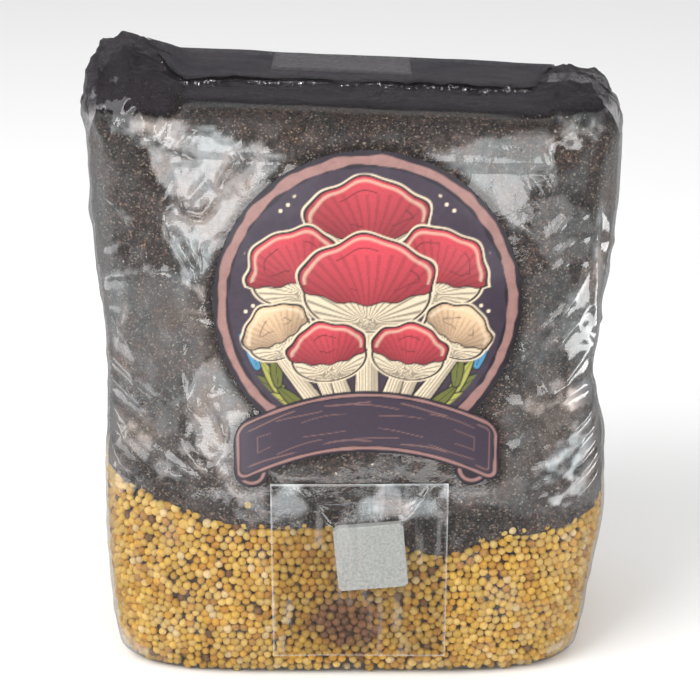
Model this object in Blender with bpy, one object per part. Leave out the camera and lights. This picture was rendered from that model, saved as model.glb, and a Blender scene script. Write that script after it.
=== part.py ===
"""An all-in-one mushroom grow bag: a clear gusseted film bag that stands on its folded base, filled with a
bed of grain under a block of dark compost. On its front it has a round label over a ribbon, and a square
foam injection port under a clear adhesive patch. Its top is folded flat between two puffed gusset ears and
holds the breather filter patch, over a slot in the film.

Metres, +Z up. The front faces -Y, and the origin is at the middle of the base.
"""

import math

import bmesh
import bpy
import numpy as np

MM = 0.001

# The filled bag. Each list runs up the bag: (height, half size there), both in mm.
TOP_Z = 207 * MM
LEFT_SIDE = ((0, 87), (15, 88.5), (60, 90.5), (105, 87.2), (160, 90.2), (200, 90.5), (235, 90.0))
RIGHT_SIDE = ((0, 85), (15, 87.8), (35, 90.8), (55, 93.3), (80, 92.3), (105, 88.4), (165, 92.8), (235, 92.0))
FRONT_SIDE = ((0, 51.5), (15, 54.0), (55, 56.0), (110, 55.0), (160, 51.5), (200, 47.0), (235, 46.0))
BACK_SIDE = ((0, 51), (15, 54.5), (55, 60.6), (110, 59.0), (160, 54.5), (200, 51.0), (235, 50.0))
CORNER_POWER = ((0, 4.6), (60, 3.9), (150, 3.9), (235, 5.2))  # 2 is an ellipse, and a high power a rectangle
LEVELS = (0, 6, 20, 40, 60, 80, 100, 120, 140, 165, 235)  # the heights of the rings, in mm
BASE_RADIUS = 6 * MM
SHOULDER_OUT = 4 * MM  # how far the shoulder turns in at the two gussets
SHOULDER_DEEP = 19 * MM  # how far it turns in at the front and the back
SHOULDER_RISE = 16 * MM

# The folded top, and the gusset ears that stand up at its ends.
TOP_BACK_SLOPE = 0.055
TOP_SIDE_SLOPE = -0.045
LEFT_EAR = dict(height=9 * MM, start=49 * MM, peak=79 * MM, end=92 * MM, end_share=1.0)
RIGHT_EAR = dict(height=4.5 * MM, start=67 * MM, peak=77 * MM, end=92 * MM, end_share=1.0)
EAR_FRONT = (-47 * MM, -14 * MM)  # where an ear starts to rise, and where it is highest
EAR_BACK = (22 * MM, 52 * MM)  # where it starts to fall, and where it is back at the end share
EAR_BACK_SHARE = 0.05
EAR_FILL = 0.55  # the compost fills the ears only this far

FILM = 0.3 * MM
GAP = 0.3 * MM
SLOT_X, SLOT_Y = 13 * MM, 4 * MM  # half sizes of the breather slot in the film
SLOT_CENTRE = (-3 * MM, 22 * MM)

# The line between grain and compost: (x, height) along the front in mm, and how it falls to the back.
GRAIN_LINE = (
    (-98, 76), (-76, 74), (-58, 67.5), (-45, 63.5), (-25, 61), (-8, 62),
    (12, 57), (32, 50.5), (48, 56.5), (66, 57.5), (80, 60), (98, 66),
)
GRAIN_BACK_SLOPE = 0.05
GRAIN_LOWEST, GRAIN_HIGHEST = 42, 79  # in mm, bounds of the whole surface

LABEL_X, LABEL_Z = 5.7 * MM, 142 * MM
LABEL_RADIUS = 51.7 * MM
RIBBON_HALF_LENGTH, RIBBON_HEIGHT = 45.5 * MM, 22 * MM
RIBBON_CROWN = 112.5 * MM  # its top edge at the middle
RIBBON_SAG = 13 * MM
CURL_RADIUS = 5 * MM
CURLS = ((-34.0 * MM, 82.5 * MM), (42.0 * MM, 84 * MM))  # the ribbon's rolled ends
LABEL_EYE_Z = 100 * MM  # the whole of the label's edge can be seen from this point on its middle line
LABEL_POINTS = 90
LABEL_THICK = 0.3 * MM

PORT_SIDE, PORT_THICK = 24.4 * MM, 2.6 * MM
PORT_X, PORT_Z = 7.2 * MM, 51.5 * MM
PORT_TURN = math.radians(-5)
PATCH_LEFT, PATCH_RIGHT = -27.5 * MM, 34 * MM
PATCH_LOW, PATCH_HIGH = 9.5 * MM, 78.5 * MM
PATCH_THICK = 0.3 * MM
POCKET_FLAT = 14 * MM  # half size of the patch's raised flat over the port
POCKET_SKIRT = 9 * MM

FILTER_X, FILTER_Y = 25 * MM, 11 * MM  # half sizes of the breather patch
FILTER_THICK = 0.4 * MM

AROUND = 56  # points round each ring of the bag
OUTLINE_STEPS = 4096
BASE_TURNS = (30, 60, 90)  # degrees up the base's rounded edge
SHOULDER_TURNS = (30, 60, 90)  # degrees over the shoulder
TOP_SHARES = (0.1, 0.22, 0.36, 0.52, 0.72, 1.0)  # from the shoulder in to the slot's rim
GRAIN_SHARES = (0.8, 0.55, 0.3, 0.08)  # from the film in to the middle of the grain's surface


def through(points, at):
    """The value at each place, on a smooth curve through (place, value) pairs."""
    place, value = (np.array(c, float) for c in zip(*points))
    step = np.diff(place)
    slope = np.diff(value) / step
    tangent = np.concatenate([slope[:1], np.zeros(len(step) - 1), slope[-1:]])
    tangent[1:-1] = (slope[:-1] * step[1:] + slope[1:] * step[:-1]) / (step[1:] + step[:-1])
    at = np.clip(np.asarray(at, float), place[0], place[-1])
    k = np.clip(np.searchsorted(place, at, side="right") - 1, 0, len(step) - 1)
    u = (at - place[k]) / step[k]
    start = (2 * u**3 - 3 * u**2 + 1) * value[k] + (u**3 - 2 * u**2 + u) * step[k] * tangent[k]
    return start + (3 * u**2 - 2 * u**3) * value[k + 1] + (u**3 - u**2) * step[k] * tangent[k + 1]


def at_levels(points, z):
    """The value at height z on a curve that is straight between the bag's levels, as its facets are."""
    return np.interp(z / MM, LEVELS, through(points, LEVELS))


def side_at(side, z):
    """The bag's half size on one side at height z."""
    return at_levels(side, z) * MM


def ear(spec, x, y, share):
    """How far a gusset ear lifts the top: a pyramid with a long inner slope and a short outer one."""
    rise = (x - spec["start"]) / (spec["peak"] - spec["start"])
    fall = 1 - (1 - spec["end_share"]) * (x - spec["peak"]) / (spec["end"] - spec["peak"])
    front = (y - EAR_FRONT[0]) / (EAR_FRONT[1] - EAR_FRONT[0])
    back = 1 - (1 - EAR_BACK_SHARE) * (y - EAR_BACK[0]) / (EAR_BACK[1] - EAR_BACK[0])
    low = np.minimum(np.minimum(rise, fall), np.minimum(front, back))
    return spec["height"] * share * np.clip(low, 0, 1)


def top_height(x, y, share=1.0):
    """The height of the folded top at (x, y). share scales the ears."""
    flat = TOP_Z + TOP_BACK_SLOPE * y + TOP_SIDE_SLOPE * x
    return flat + ear(LEFT_EAR, -x, y, share) + ear(RIGHT_EAR, x, y, share)


def on_wall(turn, z, inset_x, inset_y):
    """The point of the wall at a turn from the front's middle and a height: a superellipse round the bag."""
    across, along = np.sin(turn), -np.cos(turn)
    power = 2 / at_levels(CORNER_POWER, z)
    half_x = np.where(across < 0, side_at(LEFT_SIDE, z), side_at(RIGHT_SIDE, z)) - inset_x
    half_y = np.where(along < 0, side_at(FRONT_SIDE, z), side_at(BACK_SIDE, z)) - inset_y
    x = np.sign(across) * np.abs(across) ** power * half_x
    y = np.sign(along) * np.abs(along) ** power * half_y
    return x, y


def even_turns():
    """The turns that space AROUND points evenly round the bag at mid height."""
    turn = np.linspace(0, 2 * math.pi, OUTLINE_STEPS + 1)
    x, y = on_wall(turn, TOP_Z / 2, 0, 0)
    length = np.concatenate([[0], np.cumsum(np.hypot(np.diff(x), np.diff(y)))])
    return np.interp(np.arange(AROUND) / AROUND * length[-1], length, turn)


def outline(z, inset_x, inset_y):
    """One ring of points round the bag. z is one height, or one for each point."""
    return on_wall(even_turns(), z, inset_x, inset_y)


def front_y(x, z):
    """The film's front surface at (x, z), on the wall."""
    power = at_levels(CORNER_POWER, z)
    half_x = np.where(x < 0, side_at(LEFT_SIDE, z), side_at(RIGHT_SIDE, z))
    across = np.clip(np.abs(x) / half_x, 0, 1)
    return -side_at(FRONT_SIDE, z) * (1 - across**power) ** (1 / power)


def ring(x, y, z):
    """The points of one ring as rows of (x, y, z)."""
    return np.stack([x, y, np.broadcast_to(z, x.shape)], axis=1)


def base_rings(inset):
    """Two rings on the flat base, and the rings up its rounded edge."""
    x, y = outline(inset, BASE_RADIUS + inset, BASE_RADIUS + inset)
    rings = [ring(x / 2, y / 2, inset), ring(x, y, inset)]
    for turn in np.radians(BASE_TURNS):
        tucked = BASE_RADIUS * (1 - math.sin(turn)) + inset
        z = BASE_RADIUS * (1 - math.cos(turn)) + inset * math.cos(turn)
        x, y = outline(z, tucked, tucked)
        rings.append(ring(x, y, z))
    return rings


def shoulder_foot(inset, share):
    """The ring where the wall ends and the shoulder begins to turn in."""
    x, y = outline(TOP_Z, inset, inset)
    z = top_height(x, y, share) - inset - SHOULDER_RISE
    x, y = outline(z, inset, inset)
    return ring(x, y, z)


def wall_rings(inset, low, high):
    """A ring at each level between two heights, in mm."""
    rings = []
    for level in LEVELS:
        if low < level < high:
            x, y = outline(level * MM, inset, inset)
            rings.append(ring(x, y, level * MM))
    return rings


def top_rings(inset, share):
    """Rings over the shoulder and in across the top, down to the rim of the breather slot."""
    rings = []
    for turn in np.radians(SHOULDER_TURNS):
        turned_in = 1 - math.cos(turn)
        x, y = outline(TOP_Z, SHOULDER_OUT * turned_in + inset, SHOULDER_DEEP * turned_in + inset)
        top = top_height(x, y, share) - inset
        rings.append(ring(x, y, top - SHOULDER_RISE * (1 - math.sin(turn))))
    x, y = rings[-1][:, 0], rings[-1][:, 1]
    reach = np.maximum(np.abs(x) / SLOT_X, np.abs(y) / SLOT_Y)
    inner_x, inner_y = SLOT_CENTRE[0] + x / reach, SLOT_CENTRE[1] + y / reach
    for share_in in TOP_SHARES:
        across = x + (inner_x - x) * share_in
        along = y + (inner_y - y) * share_in
        rings.append(ring(across, along, top_height(across, along, share) - inset))
    return rings


def add_rings(bm, rings):
    """Bands of triangles, split alike, between the rings in order. Returns the first and the last ring."""
    made = [[bm.verts.new(p) for p in points] for points in rings]
    for below, above in zip(made, made[1:]):
        for i in range(AROUND):
            j = (i + 1) % AROUND
            bm.faces.new((below[i], below[j], above[j]))
            bm.faces.new((below[i], above[j], above[i]))
    return made[0], made[-1]


def plain_material(name, colour, roughness, alpha=1.0):
    material = bpy.data.materials.new(name)
    material.use_nodes = True
    shader = material.node_tree.nodes["Principled BSDF"]
    shader.inputs["Base Color"].default_value = (*colour, 1)
    shader.inputs["Roughness"].default_value = roughness
    shader.inputs["Alpha"].default_value = alpha
    return material


def add_object(name, bm, material):
    bmesh.ops.recalc_face_normals(bm, faces=bm.faces)
    mesh = bpy.data.meshes.new(name)
    bm.to_mesh(mesh)
    bm.free()
    mesh.materials.append(material)
    mesh.shade_smooth()
    mesh.set_sharp_from_angle(angle=math.radians(40))
    made = bpy.data.objects.new(name, mesh)
    bpy.context.scene.collection.objects.link(made)
    return made


def film_skin(inset):
    """All the rings of one side of the film, from the base to the breather slot."""
    walls = wall_rings(inset, LEVELS[1], LEVELS[-1]) + [shoulder_foot(inset, 1.0)]
    return base_rings(inset) + walls + top_rings(inset, 1.0)


def film_bag():
    """The bag itself: an outer and an inner skin that meet at the rim of the breather slot."""
    bm = bmesh.new()
    outer_base, outer_rim = add_rings(bm, film_skin(0.0))
    bm.faces.new(reversed(outer_base))
    inner_base, inner_rim = add_rings(bm, film_skin(FILM))
    bm.faces.new(inner_base)
    for i in range(AROUND):
        j = (i + 1) % AROUND
        bm.faces.new((outer_rim[i], outer_rim[j], inner_rim[j], inner_rim[i]))
    return add_object("film_bag", bm, plain_material("clear_film", (0.8, 0.8, 0.8), 0.1, 0.3))


def grain_height(x, y):
    """The height of the grain bed's uneven top."""
    return through(GRAIN_LINE, x / MM) * MM - GRAIN_BACK_SLOPE * (y + FRONT_SIDE[2][1] * MM)


def grain_surface(inset, lift):
    """Rings over the top of the grain bed, from the film in to the middle."""
    x, y = outline((GRAIN_LOWEST + GRAIN_HIGHEST) / 2 * MM, inset, inset)
    edge = grain_height(x, y) + lift
    x, y = outline(edge, inset, inset)
    rings = [ring(x, y, edge)]
    for share in GRAIN_SHARES:
        rings.append(ring(x * share, y * share, grain_height(x * share, y * share) + lift))
    return rings


def grain_bed():
    """The bed of grain in the foot of the bag."""
    inset = FILM + GAP
    rings = base_rings(inset) + wall_rings(inset, LEVELS[1], GRAIN_LOWEST)
    rings += grain_surface(inset, -GAP / 2)
    bm = bmesh.new()
    base, middle = add_rings(bm, rings)
    bm.faces.new(reversed(base))
    bm.faces.new(middle)
    return add_object("grain_bed", bm, plain_material("millet", (0.55, 0.33, 0.08), 0.6))


def compost_block():
    """The block of dark compost on the grain, up to the folded top."""
    inset = FILM + 1.5 * GAP
    floor = grain_surface(inset, GAP / 2)
    walls = wall_rings(inset, GRAIN_HIGHEST, LEVELS[-1]) + [shoulder_foot(inset, EAR_FILL)]
    bm = bmesh.new()
    _, underside = add_rings(bm, floor)
    bm.faces.new(underside)
    _, middle = add_rings(bm, floor[:1] + walls + top_rings(inset, EAR_FILL))
    bm.faces.new(middle)
    bmesh.ops.remove_doubles(bm, verts=bm.verts, dist=MM / 1000)
    return add_object("compost_block", bm, plain_material("compost", (0.03, 0.022, 0.018), 0.9))


def cut_across(bm, axis, low, high, spacing):
    """Cuts a flat shape along evenly spaced lines, so that it can bend with the bag."""
    normal = (1, 0, 0) if axis == "x" else (0, 0, 1)
    for at in np.arange(low + spacing, high, spacing):
        place = (at, 0, 0) if axis == "x" else (0, 0, at)
        everything = bm.verts[:] + bm.edges[:] + bm.faces[:]
        bmesh.ops.bisect_plane(bm, geom=everything, plane_co=place, plane_no=normal)


def add_sheet(name, bm, surface, thick, material):
    """Lays a flat shape, drawn in X and Z, on a surface y(x, z), and thickens it outwards."""
    for v in bm.verts:
        v.co.y = surface(v.co.x, v.co.z)
    mesh = bpy.data.meshes.new(name)
    bmesh.ops.recalc_face_normals(bm, faces=bm.faces)
    if sum(f.normal.y for f in bm.faces) > 0:
        bmesh.ops.reverse_faces(bm, faces=bm.faces)
    bmesh.ops.triangulate(bm, faces=bm.faces)
    bm.to_mesh(mesh)
    bm.free()
    mesh.materials.append(material)
    mesh.shade_smooth()
    made = bpy.data.objects.new(name, mesh)
    bpy.context.scene.collection.objects.link(made)
    solid = made.modifiers.new("thickness", "SOLIDIFY")
    solid.thickness = thick
    solid.offset = 1
    solid.use_even_offset = True
    return made


def in_label(x, z):
    """Whether a point is on the label: a disc, a curved ribbon across its foot, or a rolled end."""
    across = (x - LABEL_X) / RIBBON_HALF_LENGTH
    below_crown = RIBBON_CROWN - RIBBON_SAG * across**2 - z
    if abs(across) <= 1 and 0 <= below_crown <= RIBBON_HEIGHT:
        return True
    if math.hypot(x - LABEL_X, z - LABEL_Z) <= LABEL_RADIUS:
        return True
    return any(math.hypot(x - curl_x, z - curl_z) <= CURL_RADIUS for curl_x, curl_z in CURLS)


def label_outline():
    """The label's die-cut edge: the furthest point on it in each direction from its eye."""
    edge = []
    for turn in np.linspace(0, 2 * math.pi, LABEL_POINTS, endpoint=False):
        reach = 100 * MM
        while not in_label(LABEL_X + reach * math.sin(turn), LABEL_EYE_Z + reach * math.cos(turn)):
            reach -= MM / 20
        edge.append((LABEL_X + reach * math.sin(turn), LABEL_EYE_Z + reach * math.cos(turn)))
    return edge


def front_label():
    """The sticker on the front, with nothing printed on it here."""
    bm = bmesh.new()
    bm.faces.new([bm.verts.new((x, 0, z)) for x, z in label_outline()])
    cut_across(bm, "x", -60 * MM, 70 * MM, 11 * MM)
    cut_across(bm, "z", 80 * MM, 205 * MM, 14 * MM)
    material = plain_material("label_vinyl", (0.16, 0.12, 0.17), 0.4)
    return add_sheet("front_label", bm, lambda x, z: front_y(x, z) - 2 * GAP, LABEL_THICK, material)


def port_tilt():
    """How far the film leans at the port, from the slope of its front there."""
    reach = PORT_SIDE / 2
    lean = front_y(PORT_X, PORT_Z + reach) - front_y(PORT_X, PORT_Z - reach)
    return math.atan2(float(lean), PORT_SIDE)


def injection_port():
    """The square of soft foam rubber that a syringe needle goes through."""
    bm = bmesh.new()
    bmesh.ops.create_cube(bm, size=1)
    bmesh.ops.scale(bm, vec=(PORT_SIDE, PORT_THICK, PORT_SIDE), verts=bm.verts)
    upright = [e for e in bm.edges if abs(e.verts[0].co.y - e.verts[1].co.y) > PORT_THICK / 2]
    bmesh.ops.bevel(bm, geom=upright, offset=0.8 * MM, segments=2, affect="EDGES")
    made = add_object("injection_port", bm, plain_material("port_foam", (0.52, 0.52, 0.5), 0.8))
    made.location = (PORT_X, float(front_y(PORT_X, PORT_Z)) - 1.5 * GAP - PORT_THICK / 2, PORT_Z)
    made.rotation_euler = (-port_tilt(), PORT_TURN, 0)
    return made


def patch_y(x, z):
    """The patch lies on the film and rises in a square pocket over the port."""
    away = max(abs(x - PORT_X), abs(z - PORT_Z)) - POCKET_FLAT
    raised = 1 - min(max(away / POCKET_SKIRT, 0), 1)
    return front_y(x, z) - 1.5 * GAP - (PORT_THICK + 1.5 * GAP) * raised


def patch_lines(low, middle, high, folds):
    """Where the patch bends one way: round its pocket, and where the film's facets meet."""
    pocket = [middle, middle - POCKET_FLAT, middle + POCKET_FLAT]
    feet = [middle - POCKET_FLAT - POCKET_SKIRT, middle + POCKET_FLAT + POCKET_SKIRT]
    inside = [v for v in pocket + feet + folds if low + MM < v < high - MM]
    return [low] + sorted(inside) + [high]


def port_patch():
    """The clear adhesive square that holds the port on the film."""
    columns = patch_lines(PATCH_LEFT, PORT_X, PATCH_RIGHT, [])
    rows = patch_lines(PATCH_LOW, PORT_Z, PATCH_HIGH, [level * MM for level in LEVELS])
    bm = bmesh.new()
    grid = [[bm.verts.new((x, 0, z)) for x in columns] for z in rows]
    for low, high in zip(grid, grid[1:]):
        for i in range(len(columns) - 1):
            bm.faces.new((low[i], low[i + 1], high[i + 1], high[i]))
    material = plain_material("clear_patch", (0.85, 0.85, 0.85), 0.15, 0.3)
    return add_sheet("port_patch", bm, patch_y, PATCH_THICK, material)


def filter_patch():
    """The white breather patch that is welded over the slot."""
    bm = bmesh.new()
    columns = np.linspace(-FILTER_X, FILTER_X, 7) + SLOT_CENTRE[0]
    rows = np.linspace(-FILTER_Y, FILTER_Y, 4) + SLOT_CENTRE[1]
    skins = []
    for lift in (GAP, GAP + FILTER_THICK):
        skins.append([[bm.verts.new((x, y, float(top_height(x, y)) + lift)) for x in columns] for y in rows])
    for skin in skins:
        for near, far in zip(skin, skin[1:]):
            for i in range(len(columns) - 1):
                bm.faces.new((near[i], near[i + 1], far[i + 1], far[i]))
    low, high = skins
    edges = [
        ([row[0] for row in low], [row[0] for row in high]),
        ([row[-1] for row in low], [row[-1] for row in high]),
        (low[0], high[0]),
        (low[-1], high[-1]),
    ]
    for under, over in edges:
        for i in range(len(under) - 1):
            bm.faces.new((under[i], under[i + 1], over[i + 1], over[i]))
    return add_object("filter_patch", bm, plain_material("filter_fleece", (0.7, 0.7, 0.7), 0.9))


def main():
    for old in list(bpy.data.objects):
        bpy.data.objects.remove(old)
    film_bag()
    grain_bed()
    compost_block()
    front_label()
    injection_port()
    port_patch()
    filter_patch()


main()
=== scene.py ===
"""The looks of a mushroom grow bag: creased clear film round golden millet and dark compost, with a printed
label, a foam port under a clear patch, and a folded top over a breather patch. Metres, +Z up, front at -Y."""

import math

import bmesh
import bpy
import numpy as np
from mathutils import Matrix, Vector


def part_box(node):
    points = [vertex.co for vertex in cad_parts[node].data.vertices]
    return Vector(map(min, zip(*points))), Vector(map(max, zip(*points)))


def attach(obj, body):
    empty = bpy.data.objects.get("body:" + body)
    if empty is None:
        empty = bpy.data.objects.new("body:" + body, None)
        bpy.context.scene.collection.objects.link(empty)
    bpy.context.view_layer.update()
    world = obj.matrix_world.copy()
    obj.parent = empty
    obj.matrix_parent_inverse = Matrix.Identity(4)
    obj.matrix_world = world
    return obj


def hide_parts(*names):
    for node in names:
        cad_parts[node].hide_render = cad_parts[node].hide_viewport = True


MM = 0.001
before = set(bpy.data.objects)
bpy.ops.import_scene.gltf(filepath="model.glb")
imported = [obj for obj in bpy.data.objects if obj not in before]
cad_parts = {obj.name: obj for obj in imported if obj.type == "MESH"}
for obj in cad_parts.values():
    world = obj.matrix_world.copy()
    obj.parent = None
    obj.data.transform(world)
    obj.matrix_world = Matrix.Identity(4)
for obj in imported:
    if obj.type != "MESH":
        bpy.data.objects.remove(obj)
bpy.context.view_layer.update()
BAG_LOW, BAG_HIGH = (np.array(corner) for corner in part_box("film_bag"))
LABEL_LOW, LABEL_HIGH = (np.array(corner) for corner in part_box("front_label"))
PATCH_LOW, PATCH_HIGH = (np.array(corner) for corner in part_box("port_patch"))
PORT_LOW, PORT_HIGH = (np.array(corner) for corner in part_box("injection_port"))
FILTER_LOW, FILTER_HIGH = (np.array(corner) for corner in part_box("filter_patch"))

# The filled bag, as in the CAD: (height, half size there) in mm, scaled to the CAD's box below.
LEFT_SIDE = ((0, 87), (15, 88.5), (60, 90.5), (105, 87.2), (160, 90.2), (200, 90.5), (235, 90.0))
RIGHT_SIDE = ((0, 85), (15, 87.8), (35, 90.8), (55, 93.3), (80, 92.3), (105, 88.4), (165, 92.8), (235, 92.0))
FRONT_SIDE = ((0, 51.5), (15, 54.0), (55, 56.0), (110, 55.0), (160, 51.5), (200, 47.0), (235, 46.0))
BACK_SIDE = ((0, 51), (15, 54.5), (55, 60.6), (110, 59.0), (160, 54.5), (200, 51.0), (235, 50.0))
CORNER_POWER = ((0, 4.6), (60, 3.9), (150, 3.9), (235, 5.2))
BASE_RADIUS = 6 * MM
SHOULDER_OUT, SHOULDER_DEEP, SHOULDER_RISE = 4 * MM, 19 * MM, 16 * MM
BASE_STEPS, SHOULDER_STEPS = 8, 16
MIDDLE_SHARE = 0.02  # how wide the innermost ring is, as a share of the bag
BASE_SHARES = (MIDDLE_SHARE, 0.3, 0.6, 0.85)
TOP_Z = 207 * MM
TOP_BACK_SLOPE, TOP_SIDE_SLOPE = 0.055, -0.045
LEFT_EAR = dict(height=11.5 * MM, start=56 * MM, peak=79 * MM, end=92 * MM, end_share=0.08)
RIGHT_EAR = dict(height=5.5 * MM, start=67 * MM, peak=76 * MM, end=92 * MM, end_share=0.15)
EAR_FRONT, EAR_BACK = (-36 * MM, 2 * MM), (7 * MM, 27 * MM)  # where an ear rises, and where it falls
CORNER_LIFT = 0.72  # how much less the shoulder drops at the ears' outer corners
GRAIN_LINE = (
    (-98, 76), (-76, 74), (-58, 67.5), (-45, 63.5), (-25, 61), (-8, 62),
    (12, 57), (32, 50.5), (48, 56.5), (66, 57.5), (80, 60), (98, 66),
)
GRAIN_BACK_SLOPE = 0.05

# The label, centred on its CAD node.
LABEL_X = (LABEL_LOW[0] + LABEL_HIGH[0]) / 2
LABEL_RADIUS = (LABEL_HIGH[0] - LABEL_LOW[0]) / 2
LABEL_Z = LABEL_HIGH[2] - LABEL_RADIUS
RIBBON_HALF_LENGTH, RIBBON_HEIGHT, RIBBON_SAG = 45.5 * MM, 22 * MM, 13 * MM
RIBBON_CORNER = 5 * MM
RIBBON_CROWN = LABEL_Z - 29.5 * MM
CURL_RADIUS = 6 * MM
CURLS = ((-34.0 * MM, 83.0 * MM), (42.0 * MM, 84 * MM))

PORT_CENTRE = (PORT_LOW + PORT_HIGH) / 2
PORT_TURN = math.radians(-5)
PORT_HALF = 12.2 * MM

MILLET_SIZE = 3.45 * MM
FILM_INSET = 0.6 * MM  # one term in how deep the second layer of grains lies inside the film


# ---------------------------------------------------------------- curves, noise and the bag's own shape


def through(points, at):
    """The value at each place, on a smooth curve through (place, value) pairs."""
    place, value = (np.array(c, float) for c in zip(*points))
    step = np.diff(place)
    slope = np.diff(value) / step
    tangent = np.concatenate([slope[:1], np.zeros(len(step) - 1), slope[-1:]])
    tangent[1:-1] = (slope[:-1] * step[1:] + slope[1:] * step[:-1]) / (step[1:] + step[:-1])
    at = np.clip(np.asarray(at, float), place[0], place[-1])
    k = np.clip(np.searchsorted(place, at, side="right") - 1, 0, len(step) - 1)
    u = (at - place[k]) / step[k]
    start = (2 * u**3 - 3 * u**2 + 1) * value[k] + (u**3 - 2 * u**2 + u) * step[k] * tangent[k]
    return start + (3 * u**2 - 2 * u**3) * value[k + 1] + (u**3 - u**2) * step[k] * tangent[k + 1]


def side_at(side, z, reach):
    """The bag's half size on one side at height z, scaled so that its widest is the CAD's."""
    widest = max(value for _, value in side)
    return through(side, z / MM) * reach / widest


def smooth_step(low, high, x):
    """0 at low and 1 at high, with a smooth rise between them. low may be the larger of the two."""
    t = np.clip((x - low) / (high - low), 0, 1)
    return t * t * (3 - 2 * t)


def lattice(points, seed):
    """Smooth value noise from -1 to 1 at 3-D points, one cell per unit."""
    cell = np.floor(points).astype(np.int64)
    part = points - cell
    part = part * part * (3 - 2 * part)
    total = np.zeros(points.shape[:-1])
    for corner in range(8):
        offset = np.array([corner & 1, (corner >> 1) & 1, (corner >> 2) & 1])
        at = cell + offset
        mixed = at[..., 0] * 374761393 + at[..., 1] * 668265263 + at[..., 2] * 2147483647 + seed * 974634777
        mixed = (mixed ^ (mixed >> 13)) * 1274126177
        mixed = (mixed ^ (mixed >> 16)) & 0xFFFF
        weight = np.prod(np.where(offset == 1, part, 1 - part), axis=-1)
        total += weight * (mixed / 32767.5 - 1)
    return total


def noise(points, size, seed, octaves=1):
    """Layered noise at points, with its largest features of the given size."""
    total = np.zeros(points.shape[:-1])
    for i in range(octaves):
        total += lattice(points / size * 2**i + 19.7 * i, seed + i) / 2**i
    return total


def ridged(points, size, seed):
    """Noise with sharp ridges, like crumpled film, from -1.4 to 1."""
    return 1 - 2.4 * np.abs(noise(points, size, seed))


def ear(spec, x, y):
    """How far a gusset ear lifts the top: a pyramid with a long inner slope and a short outer one."""
    rise = (x - spec["start"]) / (spec["peak"] - spec["start"])
    fall = 1 - (1 - spec["end_share"]) * (x - spec["peak"]) / (spec["end"] - spec["peak"])
    front = (y - EAR_FRONT[0]) / (EAR_FRONT[1] - EAR_FRONT[0])
    back = 1 - (y - EAR_BACK[0]) / (EAR_BACK[1] - EAR_BACK[0])
    low = np.minimum(np.minimum(rise, fall), np.minimum(front, back))
    return spec["height"] * np.clip(low, 0, 1)


def top_height(x, y, ears=1.0):
    """The height of the folded top at (x, y)."""
    flat = TOP_Z + TOP_BACK_SLOPE * y + TOP_SIDE_SLOPE * x
    return flat + ears * (ear(LEFT_EAR, -x, y) + ear(RIGHT_EAR, x, y))


def on_wall(turn, z, inset_x, inset_y):
    """The point of the wall at a turn from the front's middle and a height."""
    across, along = np.sin(turn), -np.cos(turn)
    power = 2 / through(CORNER_POWER, z / MM)
    left, right = side_at(LEFT_SIDE, z, -BAG_LOW[0]), side_at(RIGHT_SIDE, z, BAG_HIGH[0])
    front, back = side_at(FRONT_SIDE, z, -BAG_LOW[1]), side_at(BACK_SIDE, z, BAG_HIGH[1])
    x = np.sign(across) * np.abs(across) ** power * (np.where(across < 0, left, right) - inset_x)
    y = np.sign(along) * np.abs(along) ** power * (np.where(along < 0, front, back) - inset_y)
    return x, y


def front_y(x, z):
    """The film's undisturbed front at (x, z), on the wall."""
    power = through(CORNER_POWER, z / MM)
    left, right = side_at(LEFT_SIDE, z, -BAG_LOW[0]), side_at(RIGHT_SIDE, z, BAG_HIGH[0])
    across = np.clip(np.abs(x) / np.where(x < 0, left, right), 0, 1)
    return -side_at(FRONT_SIDE, z, -BAG_LOW[1]) * (1 - across**power) ** (1 / power)


def fine_turns():
    """Turns right round, bunched at the middle of each side, where a small turn goes a long way."""
    eighth = np.linspace(0, 1, 600) ** 3 * math.pi / 4
    quarter = np.concatenate([eighth, math.pi / 2 - eighth[-2:0:-1]])
    return np.concatenate([side * math.pi / 2 + quarter for side in (-2, -1, 0, 1)] + [[math.pi]])


def turns_round(count, front_share):
    """Turns round the bag, evenly spaced along it but denser on its front."""
    turn = fine_turns()
    x, y = on_wall(turn, np.full_like(turn, TOP_Z / 2), 0, 0)
    step = np.hypot(np.diff(x), np.diff(y))
    is_front = (y[1:] + y[:-1]) / 2 < -30 * MM
    front = step[is_front].sum()
    weight = np.where(is_front, front_share / front, (1 - front_share) / (step.sum() - front))
    length = np.concatenate([[0], np.cumsum(step * weight)])
    return np.interp((np.arange(count) + 0.5) / count * length[-1], length, turn)


def shoulder_rise(turn, ears=1.0):
    """How far the shoulder drops from the top to the wall: less at the ears, whose corners are sharp."""
    x, y = on_wall(turn, np.full_like(turn, TOP_Z), 0, 0)
    at_side = smooth_step(70 * MM, 86 * MM, np.abs(x))
    beside = at_side * smooth_step(-44 * MM, -22 * MM, y) * smooth_step(46 * MM, 30 * MM, y)
    return SHOULDER_RISE * (1 - ears * CORNER_LIFT * beside)


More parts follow.
